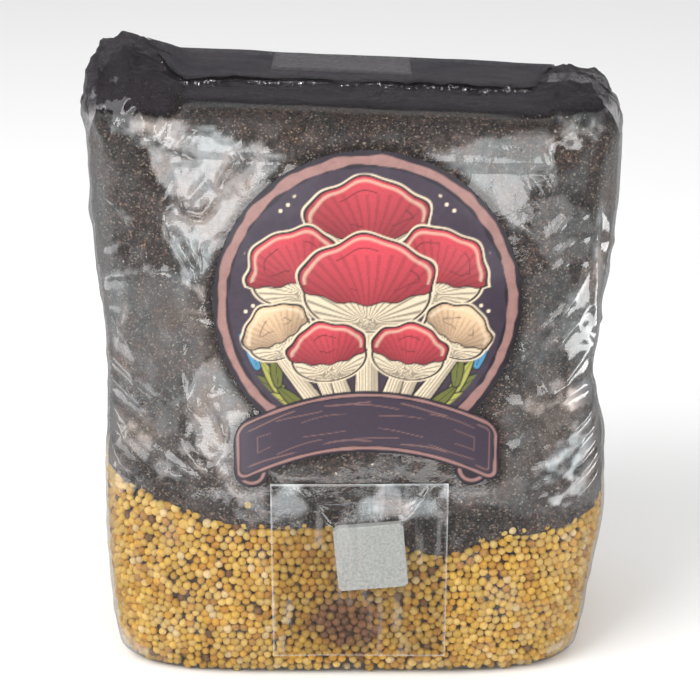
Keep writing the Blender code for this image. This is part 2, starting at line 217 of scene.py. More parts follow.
def bag_rings(turn, inset, wall_count, top_count, ears=1.0):
    """Rings of points from the middle of the base, up the wall, over the shoulder and in across the top."""
    rings = []
    ones = np.ones_like(turn)
    rise = shoulder_rise(turn, ears)
    for share in BASE_SHARES:
        x, y = on_wall(turn, inset * ones, BASE_RADIUS + inset, BASE_RADIUS + inset)
        rings.append(np.stack([x * share, y * share, inset * ones], 1))
    for t in np.radians(np.linspace(0, 90, BASE_STEPS + 1)):
        tucked = BASE_RADIUS * (1 - math.sin(t)) + inset
        z = (BASE_RADIUS * (1 - math.cos(t)) + inset * math.cos(t)) * ones
        x, y = on_wall(turn, z, tucked, tucked)
        rings.append(np.stack([x, y, z], 1))
    x, y = on_wall(turn, TOP_Z * ones, inset, inset)
    foot = top_height(x, y, ears) - inset - rise
    for i in range(1, wall_count + 1):
        z = BASE_RADIUS + (foot - BASE_RADIUS) * i / wall_count
        x, y = on_wall(turn, z, inset, inset)
        rings.append(np.stack([x, y, z], 1))
    for t in np.radians(np.linspace(0, 90, SHOULDER_STEPS + 1))[1:]:
        turned_in = 1 - math.cos(t)
        inset_x, inset_y = SHOULDER_OUT * turned_in + inset, SHOULDER_DEEP * turned_in + inset
        x, y = on_wall(turn, TOP_Z * ones, inset_x, inset_y)
        z = top_height(x, y, ears) - inset - rise * (1 - math.sin(t))
        rings.append(np.stack([x, y, z], 1))
    for share in np.linspace(1, MIDDLE_SHARE, top_count + 1)[1:]:
        z = top_height(x * share, y * share, ears) - inset
        rings.append(np.stack([x * share, y * share, z], 1))
    return np.array(rings)


# ---------------------------------------------------------------- meshes


def mesh_object(name, points, faces, material, smooth=True):
    """A mesh in the scene, from points and faces."""
    mesh = bpy.data.meshes.new(name)
    mesh.from_pydata([tuple(p) for p in points], [], faces)
    mesh.validate()
    if smooth:
        mesh.shade_smooth()
    mesh.materials.append(material)
    made = bpy.data.objects.new(name, mesh)
    bpy.context.scene.collection.objects.link(made)
    return made


def grid_faces(rows, columns, closed):
    """Quads over a grid of points, wound to face outwards on rings that run round the bag and up."""
    columns_used = columns if closed else columns - 1
    i, j = np.meshgrid(np.arange(rows - 1), np.arange(columns_used), indexing="ij")
    k = (j + 1) % columns
    low, high = i * columns, (i + 1) * columns
    return np.stack([low + j, low + k, high + k, high + j], -1).reshape(-1, 4)


def ring_object(name, rings, material):
    """A closed skin from rings, with a fan at each end."""
    count, around, _ = rings.shape
    faces = [tuple(f) for f in grid_faces(count, around, True)]
    faces.append(tuple(range(around - 1, -1, -1)))
    faces.append(tuple((count - 1) * around + i for i in range(around)))
    return mesh_object(name, rings.reshape(-1, 3), faces, material)


def normals_of(rings):
    """Unit normals at the points of a closed set of rings, facing outwards."""
    round_way = np.roll(rings, -1, axis=1) - np.roll(rings, 1, axis=1)
    up_way = np.gradient(rings, axis=0)
    normal = np.cross(round_way, up_way)
    length = np.linalg.norm(normal, axis=2, keepdims=True)
    return normal / np.maximum(length, 1e-12)


def add_values(made, name, values):
    """A number for each point of a mesh."""
    layer = made.data.attributes.new(name, "FLOAT", "POINT")
    layer.data.foreach_set("value", np.asarray(values, np.float32))


def add_colours(made, name, colours):
    """A linear colour for each point of a mesh."""
    layer = made.data.attributes.new(name, "FLOAT_COLOR", "POINT")
    rgba = np.concatenate([colours, np.ones((len(colours), 1))], axis=1)
    layer.data.foreach_set("color", rgba.astype(np.float32).ravel())


def linear(r, g, b):
    """A display colour, 0 to 255, as linear light."""
    c = np.array([r, g, b]) / 255
    return np.where(c <= 0.04045, c / 12.92, ((c + 0.055) / 1.055) ** 2.4)


# ---------------------------------------------------------------- materials


class Nodes:
    """A short way to write a material's node tree."""

    def __init__(self, name):
        self.material = bpy.data.materials.new(name)
        self.material.use_nodes = True
        self.tree = self.material.node_tree
        self.tree.nodes.clear()
        self.out = self.tree.nodes.new("ShaderNodeOutputMaterial")

    def add(self, kind, inputs=(), **settings):
        node = self.tree.nodes.new("ShaderNode" + kind)
        for key, value in settings.items():
            setattr(node, key, value)
        for key, value in dict(inputs).items():
            if isinstance(value, bpy.types.NodeSocket):
                self.tree.links.new(value, node.inputs[key])
            else:
                node.inputs[key].default_value = value
        return node

    def attribute(self, name, output="Fac"):
        return self.add("Attribute", attribute_name=name).outputs[output]

    def noise(self, scale, detail=4.0, roughness=0.55, vector=None):
        inputs = {"Scale": scale, "Detail": detail, "Roughness": roughness}
        inputs["Vector"] = vector or self.coordinates()
        return self.add("TexNoise", inputs).outputs["Fac"]

    def coordinates(self):
        return self.add("TexCoord").outputs["Object"]

    def ramp(self, value, stops):
        node = self.add("ValToRGB", {"Fac": value})
        elements = node.color_ramp.elements
        while len(elements) < len(stops):
            elements.new(0.5)
        for element, (place, colour) in zip(elements, stops):
            element.position = place
            element.color = (*colour, 1)
        return node.outputs["Color"]

    def grey_ramp(self, value, *stops):
        return self.ramp(value, [(place, (grey, grey, grey)) for place, grey in stops])

    def mix(self, share, a, b, blend="MIX"):
        """Mixes two colours, each a socket or (red, green, blue)."""
        a, b = (c if isinstance(c, bpy.types.NodeSocket) else (*c, 1) for c in (a, b))
        return self.add("Mix", {0: share, 6: a, 7: b}, data_type="RGBA", blend_type=blend).outputs[2]

    def math(self, operation, *values):
        return self.add("Math", dict(enumerate(values)), operation=operation).outputs[0]

    def bump(self, height, strength, distance):
        inputs = {"Height": height, "Strength": strength, "Distance": distance}
        return self.add("Bump", inputs).outputs["Normal"]

    def finish(self, shader):
        self.tree.links.new(shader, self.out.inputs["Surface"])
        return self.material

    def surface(self, colour, roughness, normal=None, **more):
        """Finishes the material as one Principled surface. more is its other inputs, as Coat_Weight=0.35."""
        inputs = {"Base Color": colour, "Roughness": roughness}
        if normal is not None:
            inputs["Normal"] = normal
        inputs.update((name.replace("_", " "), value) for name, value in more.items())
        return self.finish(self.add("BsdfPrincipled", inputs).outputs[0])


def film_material(name, roughness, base_haze, tints):
    """Clear film: see-through, with gloss by Fresnel, and a cloudy veil, partly where it stands off what it
    holds and partly painted light: painted glare, painted highlights and painted shade.
    """
    m = Nodes(name)
    fine = m.noise(900, 3)
    wide = m.noise(120, 2)
    height = m.math("ADD", m.math("MULTIPLY", fine, 0.35), wide)
    normal = m.bump(height, 0.3, 0.0004)
    gloss = m.add("BsdfGlossy", {"Color": (1, 1, 1, 1), "Roughness": roughness, "Normal": normal})
    # Painted shade: the veil's colour turns near black where 'shaded' is set.
    tint = m.mix(m.attribute("shaded"), m.ramp(m.noise(55, 3, 0.6), tints), (0.030, 0.026, 0.030))
    haze_and_painted_light = m.add("BsdfDiffuse", {"Color": tint, "Normal": normal})
    clear = m.add("BsdfTransparent", {"Color": (0.985, 0.985, 0.988, 1)})
    touching = m.grey_ramp(m.noise(420, 5, 0.75), (0.36, 0.80), (0.64, 1.16))
    # How much veil: cloudiness and dust, and the painted glare, highlights and shade set on the mesh.
    share = m.math("MULTIPLY", m.math("ADD", m.attribute("haze_and_painted_light"), base_haze), touching)
    share = m.math("MINIMUM", share, 0.9)
    veiled = m.add("MixShader", {0: share, 1: clear.outputs[0], 2: haze_and_painted_light.outputs[0]})
    fresnel = m.add("Fresnel", {"IOR": 1.5, "Normal": normal}).outputs[0]
    shine = m.math("MULTIPLY", m.math("MULTIPLY", fresnel, 1.9), m.attribute("gloss"))
    shine = m.math("MINIMUM", shine, 0.42)
    both = m.add("MixShader", {0: shine, 1: veiled.outputs[0], 2: gloss.outputs[0]})
    return m.finish(both.outputs[0])


# The veil's colours, also the colours of the painted glare and highlights.
CLEAR_TINTS = ((0.38, (0.66, 0.71, 0.72)), (0.50, (0.73, 0.71, 0.71)), (0.62, (0.76, 0.66, 0.60)))
DARK_TINTS = ((0.40, (0.040, 0.037, 0.047)), (0.60, (0.055, 0.050, 0.058)))


def speckle(m, scale, stops):
    """Sharp little cells, each of one shade picked from a ramp."""
    cells = m.add("TexVoronoi", {"Vector": m.coordinates(), "Scale": scale, "Randomness": 1.0})
    picked = m.add("SeparateColor", {0: cells.outputs["Color"]}).outputs[0]
    return m.ramp(picked, stops)


def compost_material():
    """Crumbly dark compost: near-black crumbs, brown bits and pale flecks."""
    m = Nodes("compost")
    coarse = m.noise(560, 6, 0.8)
    colour = m.ramp(coarse, [
        (0.40, linear(13, 10, 10)), (0.49, linear(32, 26, 26)),
        (0.57, linear(76, 62, 58)), (0.66, linear(150, 132, 120)),
    ])
    broad = m.noise(45, 3, 0.6)
    tint = m.ramp(broad, [(0.40, (0.78, 0.80, 0.92)), (0.62, (1.95, 1.28, 0.92))])
    colour = m.mix(1.0, colour, tint, "MULTIPLY")
    small = speckle(m, 1900.0, [
        (0.0, linear(16, 12, 12)), (0.42, linear(36, 29, 28)), (0.60, linear(88, 73, 68)),
        (0.72, linear(34, 27, 26)), (0.90, linear(122, 104, 94)), (0.97, linear(200, 184, 160)),
    ])
    colour = m.mix(0.5, colour, small)
    # Painted shade: smooth near-black compost behind the shoulder and in the ears.
    colour = m.mix(m.attribute("smeared_and_shaded"), colour, linear(22, 17, 18))
    return m.surface(colour, 0.8, m.bump(m.noise(800, 5, 0.7), 1.0, 0.0012))


def crumb_material():
    """Loose crumbs, coloured piece by piece."""
    m = Nodes("crumbs")
    colour = m.attribute("tint", "Color")
    rough = m.noise(1500, 3)
    colour = m.mix(0.5, colour, m.grey_ramp(rough, (0.3, 0.25), (0.7, 1.0)), "MULTIPLY")
    return m.surface(colour, 0.8, m.bump(rough, 0.5, 0.0005))


def millet_material():
    """Moist golden grains, coloured grain by grain, with a finely wrinkled skin."""
    m = Nodes("millet")
    colour = m.attribute("tint", "Color")
    blotch = m.ramp(m.noise(420, 3), [(0.35, linear(206, 176, 130)), (0.65, (1.0, 1.0, 1.0))])
    colour = m.mix(0.45, colour, blotch, "MULTIPLY")
    normal = m.bump(m.noise(1800, 3), 0.25, 0.0003)
    depth = (0.0012, 0.0008, 0.0004)
    return m.surface(colour, 0.42, normal, Subsurface_Weight=0.15, Subsurface_Radius=depth)


def backing_material():
    """The shade between the grains."""
    m = Nodes("grain_shade")
    colour = m.ramp(m.noise(300, 3), [(0.35, linear(104, 70, 32)), (0.7, linear(158, 114, 54))])
    return m.surface(colour, 0.9)


def label_material():
    """Printed vinyl with a satin varnish."""
    m = Nodes("label_vinyl")
    mottle = m.grey_ramp(m.noise(1400, 3), (0.3, 0.86), (0.7, 1.0))
    colour = m.mix(1.0, m.attribute("print", "Color"), mottle, "MULTIPLY")
    normal = m.bump(m.noise(160, 2), 0.25, 0.0005)
    return m.surface(colour, 0.34, normal, Coat_Weight=0.35, Coat_Roughness=0.22)


def foam_material():
    """Light grey foam rubber with a fine closed grain."""
    m = Nodes("port_foam")
    colour = m.ramp(m.noise(1100, 4), [(0.35, linear(166, 168, 164)), (0.65, linear(196, 197, 193))])
    pores = m.add("TexVoronoi", {"Vector": m.coordinates(), "Scale": 1600.0}).outputs["Distance"]
    return m.surface(colour, 0.85, m.bump(m.math("ADD", pores, m.noise(900, 3)), 0.5, 0.0004))


def fleece_material():
    """White non-woven breather fleece."""
    m = Nodes("filter_fleece")
    stretched = m.add("Mapping", {"Vector": m.coordinates(), "Scale": (1.0, 3.0, 1.0)}).outputs[0]
    fibres = m.noise(900, 6, 0.75, stretched)
    colour = m.ramp(fibres, [(0.3, linear(170, 166, 168)), (0.7, linear(212, 208, 210))])
    return m.surface(colour, 0.9, m.bump(fibres, 0.5, 0.0004))


# ---------------------------------------------------------------- the film's folds


def segment_distance(x, z, a, b):
    """How far points are from a segment, how far along it (0 to 1) is nearest, and on which side they lie."""
    ax, az = a
    bx, bz = b
    length2 = (bx - ax) ** 2 + (bz - az) ** 2
    t = np.clip(((x - ax) * (bx - ax) + (z - az) * (bz - az)) / length2, 0, 1)
    side = np.sign((bx - ax) * (z - az) - (bz - az) * (x - ax))
    return np.hypot(x - ax - t * (bx - ax), z - az - t * (bz - az)), t, side


def crease(x, z, route, width, height, lean=0.0):
    """A sharp fold along a route, tapered at its ends. lean makes one side longer, like a fold lying over."""
    route = np.array(route, float)
    leg = np.hypot(*np.diff(route, axis=0).T)
    start = np.concatenate([[0], np.cumsum(leg)])
    best = np.full(x.shape, 1e9)
    along = np.zeros(x.shape)
    beside = np.zeros(x.shape)
    for i in range(len(leg)):
        distance, t, side = segment_distance(x, z, route[i], route[i + 1])
        nearer = distance < best
        best = np.where(nearer, distance, best)
        along = np.where(nearer, (start[i] + t * leg[i]) / start[-1], along)
        beside = np.where(nearer, side, beside)
    reach = width * (1 + lean * beside)
    profile = np.exp(-((best / reach) ** 2)) * 0.45 + np.exp(-best / reach) * 0.55
    return height * profile * np.sin(np.pi * np.clip(along * 0.94 + 0.03, 0, 1)) ** 0.6


# Folds on the front, as (route in mm across and up, width, height, lean). Up runs on over the shoulder.
FRONT_FOLDS = (
    # on the left shoulder and the upper left
    (((-77, 199), (-68, 197), (-56, 192), (-49, 190)), 1.5, 1.5, 0.3),
    (((-57, 199), (-52, 200), (-44, 199)), 1.3, 1.2, -0.3),
    (((-34, 196), (-38, 189), (-43, 182)), 1.5, 1.7, 0.3),
    (((-31, 193), (-36, 186)), 1.2, 0.8, 0.0),
    (((-28, 189), (-22, 190)), 1.4, 0.9, 0.0),
    (((-57, 178), (-54, 173), (-49, 172), (-44, 177)), 1.6, 1.5, 0.2),
    (((-65, 169), (-61, 173), (-57, 178)), 1.6, 1.1, 0.0),
    (((-61, 168), (-55, 157), (-51, 148), (-46, 138)), 1.7, 2.0, 0.4),
    (((-57, 166), (-51, 154), (-47, 143)), 1.3, 1.5, -0.3),
    (((-50, 163), (-49, 155), (-46, 149)), 1.2, 0.8, 0.0),
    (((-88, 144), (-80, 149), (-68, 152), (-60, 152)), 1.8, 1.5, 0.3),
    (((-86, 140), (-80, 131), (-74, 120)), 1.5, 1.0, 0.3),
    (((-53, 141), (-45, 138)), 1.3, 1.2, 0.0),
    (((-78, 165), (-70, 160), (-66, 150)), 1.8, 0.7, 0.0),
    (((-84, 178), (-76, 172), (-70, 164)), 1.8, 0.8, 0.3),
    # the lower left bundle
    (((-87, 121), (-78, 115), (-68, 110), (-58, 104)), 1.7, 1.5, 0.3),
    (((-88, 113), (-78, 108), (-66, 100)), 1.5, 1.3, -0.2),
    (((-89, 104), (-78, 97), (-66, 88), (-52, 79)), 1.8, 2.0, 0.4),
    (((-84, 99), (-74, 92), (-62, 84)), 1.4, 1.4, -0.3),
    (((-82, 94), (-74, 87), (-64, 81), (-56, 78)), 1.7, 1.9, 0.3),
    (((-87, 88), (-80, 80), (-70, 75)), 1.6, 1.1, 0.0),
    (((-58, 118), (-56, 108), (-52, 100)), 1.4, 0.9, 0.0),
    (((-60, 92), (-52, 84), (-44, 78)), 1.5, 1.6, 0.3),
    (((-47, 108), (-44, 100), (-42, 92)), 1.4, 0.7, 0.0),
    # the right shoulder's star and the glare's crooked edge
    (((66, 198), (72, 203), (80, 208)), 1.3, 1.6, 0.0),
    (((66, 199), (76, 199), (82, 194)), 1.5, 1.8, 0.3),
    (((70, 207), (76, 214), (80, 222)), 1.3, 1.4, 0.2),
    (((63, 197), (66, 190), (68, 182), (66, 178)), 1.3, 1.1, -0.3),
    (((58, 188), (64, 184), (67, 178)), 1.3, 0.8, 0.0),
    (((66, 164), (72, 170), (80, 171)), 1.6, 1.3, 0.2),
    (((68, 158), (74, 163), (82, 163)), 1.4, 1.2, 0.2),
    (((67, 152), (73, 156), (81, 154)), 1.4, 1.0, 0.2),
    # the right edge
    (((84, 184), (82, 160), (83, 138), (86, 118)), 1.4, 1.4, 0.3),
    (((88, 196), (88, 168), (88, 140)), 1.4, 0.9, -0.2),
    (((62, 128), (72, 138), (80, 150)), 1.8, 1.1, 0.3),
    (((64, 120), (74, 130), (82, 138)), 1.6, 1.0, 0.3),
    (((50, 104), (62, 107), (74, 113), (84, 122)), 1.8, 1.5, 0.3),
    # the ribs on the lower right
    (((60, 100), (70, 106), (80, 108), (88, 106)), 2.2, 2.0, 0.4),
    (((66, 87), (74, 92), (84, 98), (92, 103)), 2.0, 1.9, 0.3),
    (((62, 80), (72, 85), (83, 91), (92, 97)), 2.0, 2.0, 0.3),
    (((60, 74), (72, 79), (83, 85), (93, 91)), 2.0, 2.0, 0.3),
    (((64, 69), (74, 73), (84, 79), (93, 85)), 1.5, 1.9, 0.3),
    (((68, 64), (78, 68), (86, 73), (93, 78)), 1.5, 1.5, 0.3),
    (((46, 92), (56, 90), (66, 93)), 1.8, 0.8, 0.0),
    # faint ones low down
    (((-80, 40), (-62, 46), (-44, 42)), 2.4, 0.5, 0.3),
    (((46, 28), (62, 34), (80, 30)), 2.4, 0.5, 0.3),
    (((-90, 20), (-82, 12), (-74, 6)), 1.8, 1.4, 0.3),
    (((88, 24), (82, 14), (74, 7)), 1.8, 1.4, 0.3),
)

# Folds on the top, as (route in mm across and back, width, height, lean).
TOP_FOLDS = (
    (((-79, 4), (-77, -10), (-73, -26)), 1.8, 2.6, 0.3),
    (((-79, 4), (-85, -3), (-90, -8)), 1.6, 1.6, 0.0),
    (((-82, -4), (-79, -16), (-81, -28)), 1.5, 1.8, 0.3),
    (((-86, -6), (-84, -18), (-86, -30)), 1.4, 1.3, -0.3),
    (((-78, 3), (-69, 5), (-58, 9)), 2.0, 1.5, 0.2),
    (((-80, 8), (-82, 24), (-79, 40)), 2.0, 1.8, 0.2),
    (((-87, 8), (-88, 20), (-86, 34)), 1.8, 1.3, 0.0),
    (((78, 4), (74, -8), (70, -20)), 1.8, 2.4, 0.3),
    (((78, 3), (84, -3), (90, -8)), 1.6, 1.8, 0.0),
    (((81, -2), (83, -12), (86, -26)), 1.4, 1.6, 0.3),
    (((78, -8), (80, -18), (81, -32)), 1.4, 1.6, -0.3),
    (((87, 2), (88, -10), (89, -22)), 1.3, 1.2, 0.2),
    (((77, 8), (80, 22), (77, 38)), 2.0, 1.8, 0.2),
    (((86, 8), (88, 20), (86, 34)), 1.8, 1.3, 0.0),
)

# Painted glare: outlines where a cloudy veil on the film stands in for its reflections, as (outline in mm
# across and up, how cloudy).
PAINTED_GLARE = (
    ((
        (-73, 205), (-58, 203.5), (-45.5, 200), (-34.5, 195), (-19, 191.5), (-24.5, 185.5), (-37, 173),
        (-46, 152), (-48, 139.5), (-54, 148.5), (-62, 167), (-58, 176), (-64, 183), (-66, 191), (-69.5, 198),
    ), 0.32),
    ((
        (25.5, 192), (39.5, 195.5), (53, 198), (67, 200.5), (67.5, 194), (66.5, 184.5), (61, 180.5),
        (57, 170), (52, 167), (48, 175.5), (40, 183.5), (31.5, 189),
    ), 0.20),
    ((
        (-58, 110), (-50, 121), (-43, 123), (-33, 106), (-39, 98),
        (-36, 85), (-28, 75), (-38, 70), (-44, 80), (-52, 91),
    ), 0.26),
    (((62, 178), (70, 178), (80, 170), (80, 156), (66, 154), (60, 164)), 0.10),
    (((70, 140), (82, 158), (92, 160), (92, 118), (78, 122), (64, 126)), 0.12),
    (((58, 150), (70, 156), (80, 140), (70, 110), (56, 118)), 0.05),
    (((40, 96), (62, 108), (90, 108), (92, 66), (60, 64), (44, 74)), 0.05),
    (((62, 106), (74, 112), (90, 112), (92, 96), (72, 92), (66, 98)), 0.11),
    (((-86, 150), (-60, 154), (-46, 140), (-52, 112), (-60, 96), (-86, 84)), 0.08),
    (((-90, 150), (-82, 146), (-80, 116), (-84, 90), (-92, 88)), 0.18),
    (((-34, 80), (-10, 79), (-18, 66), (-36, 70)), 0.12),
    (((34, 82), (62, 80), (60, 70), (36, 70)), 0.10),
)

# Painted highlights: bright veils on the folds of loose film at the front's right corner.
PAINTED_GLINTS = (
    (((71, 104), (75, 109), (83, 111), (87, 105), (85, 99), (78, 101)), 0.72),
    (((74, 78), (79, 86), (88, 97), (89, 91), (83, 83), (77, 76)), 0.66),
    (((70, 70), (79, 75.5), (88, 82), (89, 77), (80, 71.5), (72, 67.5)), 0.60),
    (((76, 91), (83, 97), (90, 102), (90, 98.5), (84, 93.5), (77, 89.5)), 0.55),
    (((68, 84), (76, 88), (82, 93), (82, 90), (76, 85.5), (69, 81.5)), 0.40),
    (((82, 158), (85.5, 158), (86.5, 140), (86, 118), (82.5, 117), (84, 138)), 0.45),
)


def rounded(a, b, radius):
    """How far inside a corner with a rounded tip a point is, from how far it is inside each side."""
    nearest = np.minimum(a, b)
    tip = radius - np.hypot(np.maximum(radius - a, 0), np.maximum(radius - b, 0))
    return np.where(nearest > radius, nearest, np.minimum(nearest, tip))


def in_label(x, z):
    """How far inside the label's outline a point is, in metres. Negative is outside it."""
    across = (x - LABEL_X) / RIBBON_HALF_LENGTH
    below_crown = RIBBON_CROWN - RIBBON_SAG * across**2 - z
    slope = 2 * RIBBON_SAG * across / RIBBON_HALF_LENGTH
    upright = np.minimum(below_crown, RIBBON_HEIGHT - below_crown) / np.sqrt(1 + slope**2)
    ribbon = rounded(upright, RIBBON_HALF_LENGTH - np.abs(x - LABEL_X), RIBBON_CORNER)
    disc = LABEL_RADIUS - np.hypot(x - LABEL_X, z - LABEL_Z)
    inside = np.maximum(ribbon, disc)
    for curl_x, curl_z in CURLS:
        inside = np.maximum(inside, CURL_RADIUS - np.hypot(x - curl_x, z - curl_z))
    return inside


def in_patch(x, z):
    """How far inside the port patch a point is. Negative is outside it."""
    inside_x = np.minimum(x - PATCH_LOW[0], PATCH_HIGH[0] - x)
    return np.minimum(inside_x, np.minimum(z - PATCH_LOW[2], PATCH_HIGH[2] - z))


def port_away(x, z):
    """How far outside the port's square a point is, in the square's own turned axes."""
    c, s = math.cos(PORT_TURN), math.sin(PORT_TURN)
    dx, dz = x - PORT_CENTRE[0], z - PORT_CENTRE[2]
    u, v = dx * c - dz * s, dx * s + dz * c
    return np.maximum(np.abs(u), np.abs(v)) - PORT_HALF


def soft_waves(points):
    """Wide shallow waves of the film, which the label and the patch follow too."""
    fade = smooth_step(TOP_Z + 3 * MM, TOP_Z - 12 * MM, points[..., 2])
    return 0.8 * MM * noise(points * np.array([1.0, 1.0, 1.3]), 34 * MM, 5, 2) * fade


def follow_waves(points):
    """Moves points by the film's soft waves, outwards from the bag's upright axis planes."""
    outwards = np.zeros_like(points)
    for axis in (0, 1):
        outwards[:, axis] = np.sign(points[:, axis]) * (np.abs(points[:, axis]) / BAG_HIGH[axis]) ** 5
    outwards /= np.maximum(np.linalg.norm(outwards, axis=1, keepdims=True), 1e-9)
    return points + outwards * (soft_waves(points) * smooth_step(0, 2 * BASE_RADIUS, points[:, 2]))[:, None]


def up_the_front(x, y, z):
    """Height up the front, running on over the shoulder and the top as they slope away."""
    return z + 0.21 * np.maximum(y - front_y(x, z), 0) * smooth_step(185 * MM, 200 * MM, z)


def outline_distance(x, z, outline):
    """How far inside a closed outline each point is. Negative is outside it."""
    nearest = np.full(x.shape, 1e9)
    inside = np.zeros(x.shape, bool)
    for a, b in zip(outline, outline[1:] + outline[:1]):
        nearest = np.minimum(nearest, segment_distance(x, z, a, b)[0])
        crosses = (a[1] > z) != (b[1] > z)
        rise = b[1] - a[1] if b[1] != a[1] else 1e-9
        inside ^= crosses & (x < a[0] + (z - a[1]) / rise * (b[0] - a[0]))
    return np.where(inside, nearest, -nearest)


def seen_flat(x, z):
    """Points in the plane of the front, for noise that doesn't follow the bag's depth."""
    return np.stack([x, 0 * x, z], -1)


def painted_veil(x, z, outlines):
    """How strong the veil of painted glare and highlights is at each place on the front, from a list of
    outlines.
    """
    ragged = 1.3 * MM * noise(seen_flat(x, z), 5 * MM, 81, 3)
    total = np.zeros(x.shape)
    for outline, veiled in outlines:
        outline = [(a * MM, b * MM) for a, b in outline]
        inside = outline_distance(x, z, outline) + ragged
        total = np.maximum(total, veiled * smooth_step(-0.5 * MM, 0.6 * MM, inside))
    return total


def sum_folds(folds, x, z):
    """The sum of a list of folds at each point."""
    total = np.zeros(x.shape)
    for route, width, height, lean in folds:
        route = np.array(route) * MM
        low, high = route.min(0) - 12 * MM, route.max(0) + 12 * MM
        near = (x > low[0]) & (x < high[0]) & (z > low[1]) & (z < high[1])
        total[near] += crease(x[near], z[near], route, width * MM, height * MM, lean)
    return total


def clear_of_stickers(x, z):
    """1 on bare film, falling to 0 under the label and the patch."""
    return smooth_step(0.5 * MM, 4 * MM, -in_label(x, z)) * smooth_step(0.2 * MM, 3 * MM, -in_patch(x, z))


def round_the_back(rings, turn):
    """How far round each column is, in metres along the wall, and 0 to 1 for how much it is off the front."""
    off_front = smooth_step(-38 * MM, -22 * MM, rings[:, :, 1])
    x, y = on_wall(turn, np.full_like(turn, TOP_Z / 2), 0, 0)
    along = np.concatenate([[0], np.cumsum(np.hypot(np.diff(x), np.diff(y)))])
    return np.broadcast_to(along, rings.shape[:2]), off_front


def strewn_folds(along, z, count, seed):
    """Folds at seeded places and slants, for the sides and the back."""
    draw = np.random.default_rng(seed)
    total = np.zeros(along.shape)
    longest = along.max()
    near_grain = 0.35 + 0.65 * smooth_step(60 * MM, 85 * MM, z)
    for _ in range(count):
        middle = np.array([draw.uniform(0, longest), draw.uniform(15 * MM, 195 * MM)])
        slant = draw.choice([draw.normal(1.4, 0.25), draw.normal(-0.7, 0.3), draw.normal(0.7, 0.3)])
        half = draw.uniform(8, 24) * MM
        bend = draw.uniform(-4, 4) * MM
        way = np.array([math.cos(slant), math.sin(slant)])
        beside = np.array([-way[1], way[0]])
        route = [middle - way * half, middle + beside * bend, middle + way * half]
        low, high = np.min(route, axis=0) - 12 * MM, np.max(route, axis=0) + 12 * MM
        near = (along > low[0]) & (along < high[0]) & (z > low[1]) & (z < high[1])
        width, height = draw.uniform(1.6, 3.0) * MM, draw.uniform(0.4, 1.3) * MM
        total[near] += crease(along[near], z[near], route, width, height, draw.uniform(-0.4, 0.4))
    return total * near_grain


def small_front_folds(x, up):
    """Many small folds beside the label, which mostly run up to the middle from both sides."""
    draw = np.random.default_rng(33)
    folds = []
    for _ in range(80):
        side = draw.choice([-1, 1])
        middle = np.array([side * draw.uniform(46, 90), draw.uniform(72, 198)])
        slant = -side * draw.normal(0.75, 0.35)
        half = draw.uniform(3, 11)
        way = np.array([math.cos(slant), math.sin(slant)])
        bend = np.array([-way[1], way[0]]) * draw.uniform(-2, 2)
        route = (middle - way * half, middle + bend, middle + way * half)
        folds.append((route, draw.uniform(0.9, 1.5), draw.uniform(0.3, 0.8), draw.uniform(-0.4, 0.4)))
    return sum_folds(folds, x, up)


def near_ears(x, z, start):
    """1 in the two ears and at the bag's top corners, 0 elsewhere."""
    return smooth_step(start, start + 14 * MM, np.abs(x)) * smooth_step(192 * MM, 203 * MM, z)


def ear_crumple(rings):
    """Sharp facets of the film round the ears and at the bag's top corners."""
    crumple = ridged(rings * np.array([1, 0.7, 1]), 9 * MM, 15) + 0.5 * ridged(rings, 4.5 * MM, 16)
    return near_ears(rings[:, :, 0], rings[:, :, 2], 58 * MM) * 1.2 * MM * crumple


def film_shape(turn, rings, share=1.0):
    """Rings moved out to the film's waves and folds, and what its finish needs. share is how far folds go."""
    normal = normals_of(rings)
    x, y, z = rings[:, :, 0], rings[:, :, 1], rings[:, :, 2]
    along, off_front = round_the_back(rings, turn)
    up = up_the_front(x, y, z)
    upright = smooth_step(BASE_RADIUS, 3 * BASE_RADIUS, z) * smooth_step(0.85, 0.6, normal[:, :, 2])
    folds = sum_folds(FRONT_FOLDS, x, up)
    lift = 0.22 * MM * noise(rings, 8 * MM, 8, 3)
    lift += (folds + small_front_folds(x, up)) * (1 - off_front) * upright * clear_of_stickers(x, z)
    lift += strewn_folds(along, z, 90, 21) * off_front * upright
    lift += sum_folds(TOP_FOLDS, x, y) * smooth_step(0.45, 0.75, normal[:, :, 2]) * (z > 0.9 * TOP_Z)
    lift += 0.22 * MM * (0.3 + off_front) * ridged(rings, 11 * MM, 18)
    slanting = smooth_step(0.62, 0.9, 2 * np.abs(normal[:, :, 0] * normal[:, :, 1]))
    corner = slanting * smooth_step(16 * MM, 6 * MM, z)
    lift = np.maximum(lift, -0.3 * MM)
    lift = np.where(lift > 0, lift * share, lift)
    if share == 1:
        lift += 1.6 * MM * corner + ear_crumple(rings)
    moved = rings + normal * ((lift + soft_waves(rings)) * smooth_step(0, 2 * BASE_RADIUS, z))[:, :, None]
    return moved, normal, lift, folds, up, off_front


def painted_film_shade(x, y, z, normal):
    """0 to 1 for how dark the film is on the folded top, and for painted shade in the ears and at the sides
    above the grain.
    """
    in_ears = smooth_step(52 * MM, 62 * MM, np.abs(x)) * smooth_step(201 * MM, 206 * MM, z)
    on_top = smooth_step(-37 * MM, -29 * MM, y) * smooth_step(0.8, 0.97, normal[:, :, 2])
    aside = smooth_step(0.5, 0.9, np.abs(normal[:, :, 0])) * smooth_step(0, 9 * MM, z - grain_height(x, y))
    return np.maximum(in_ears, on_top), aside


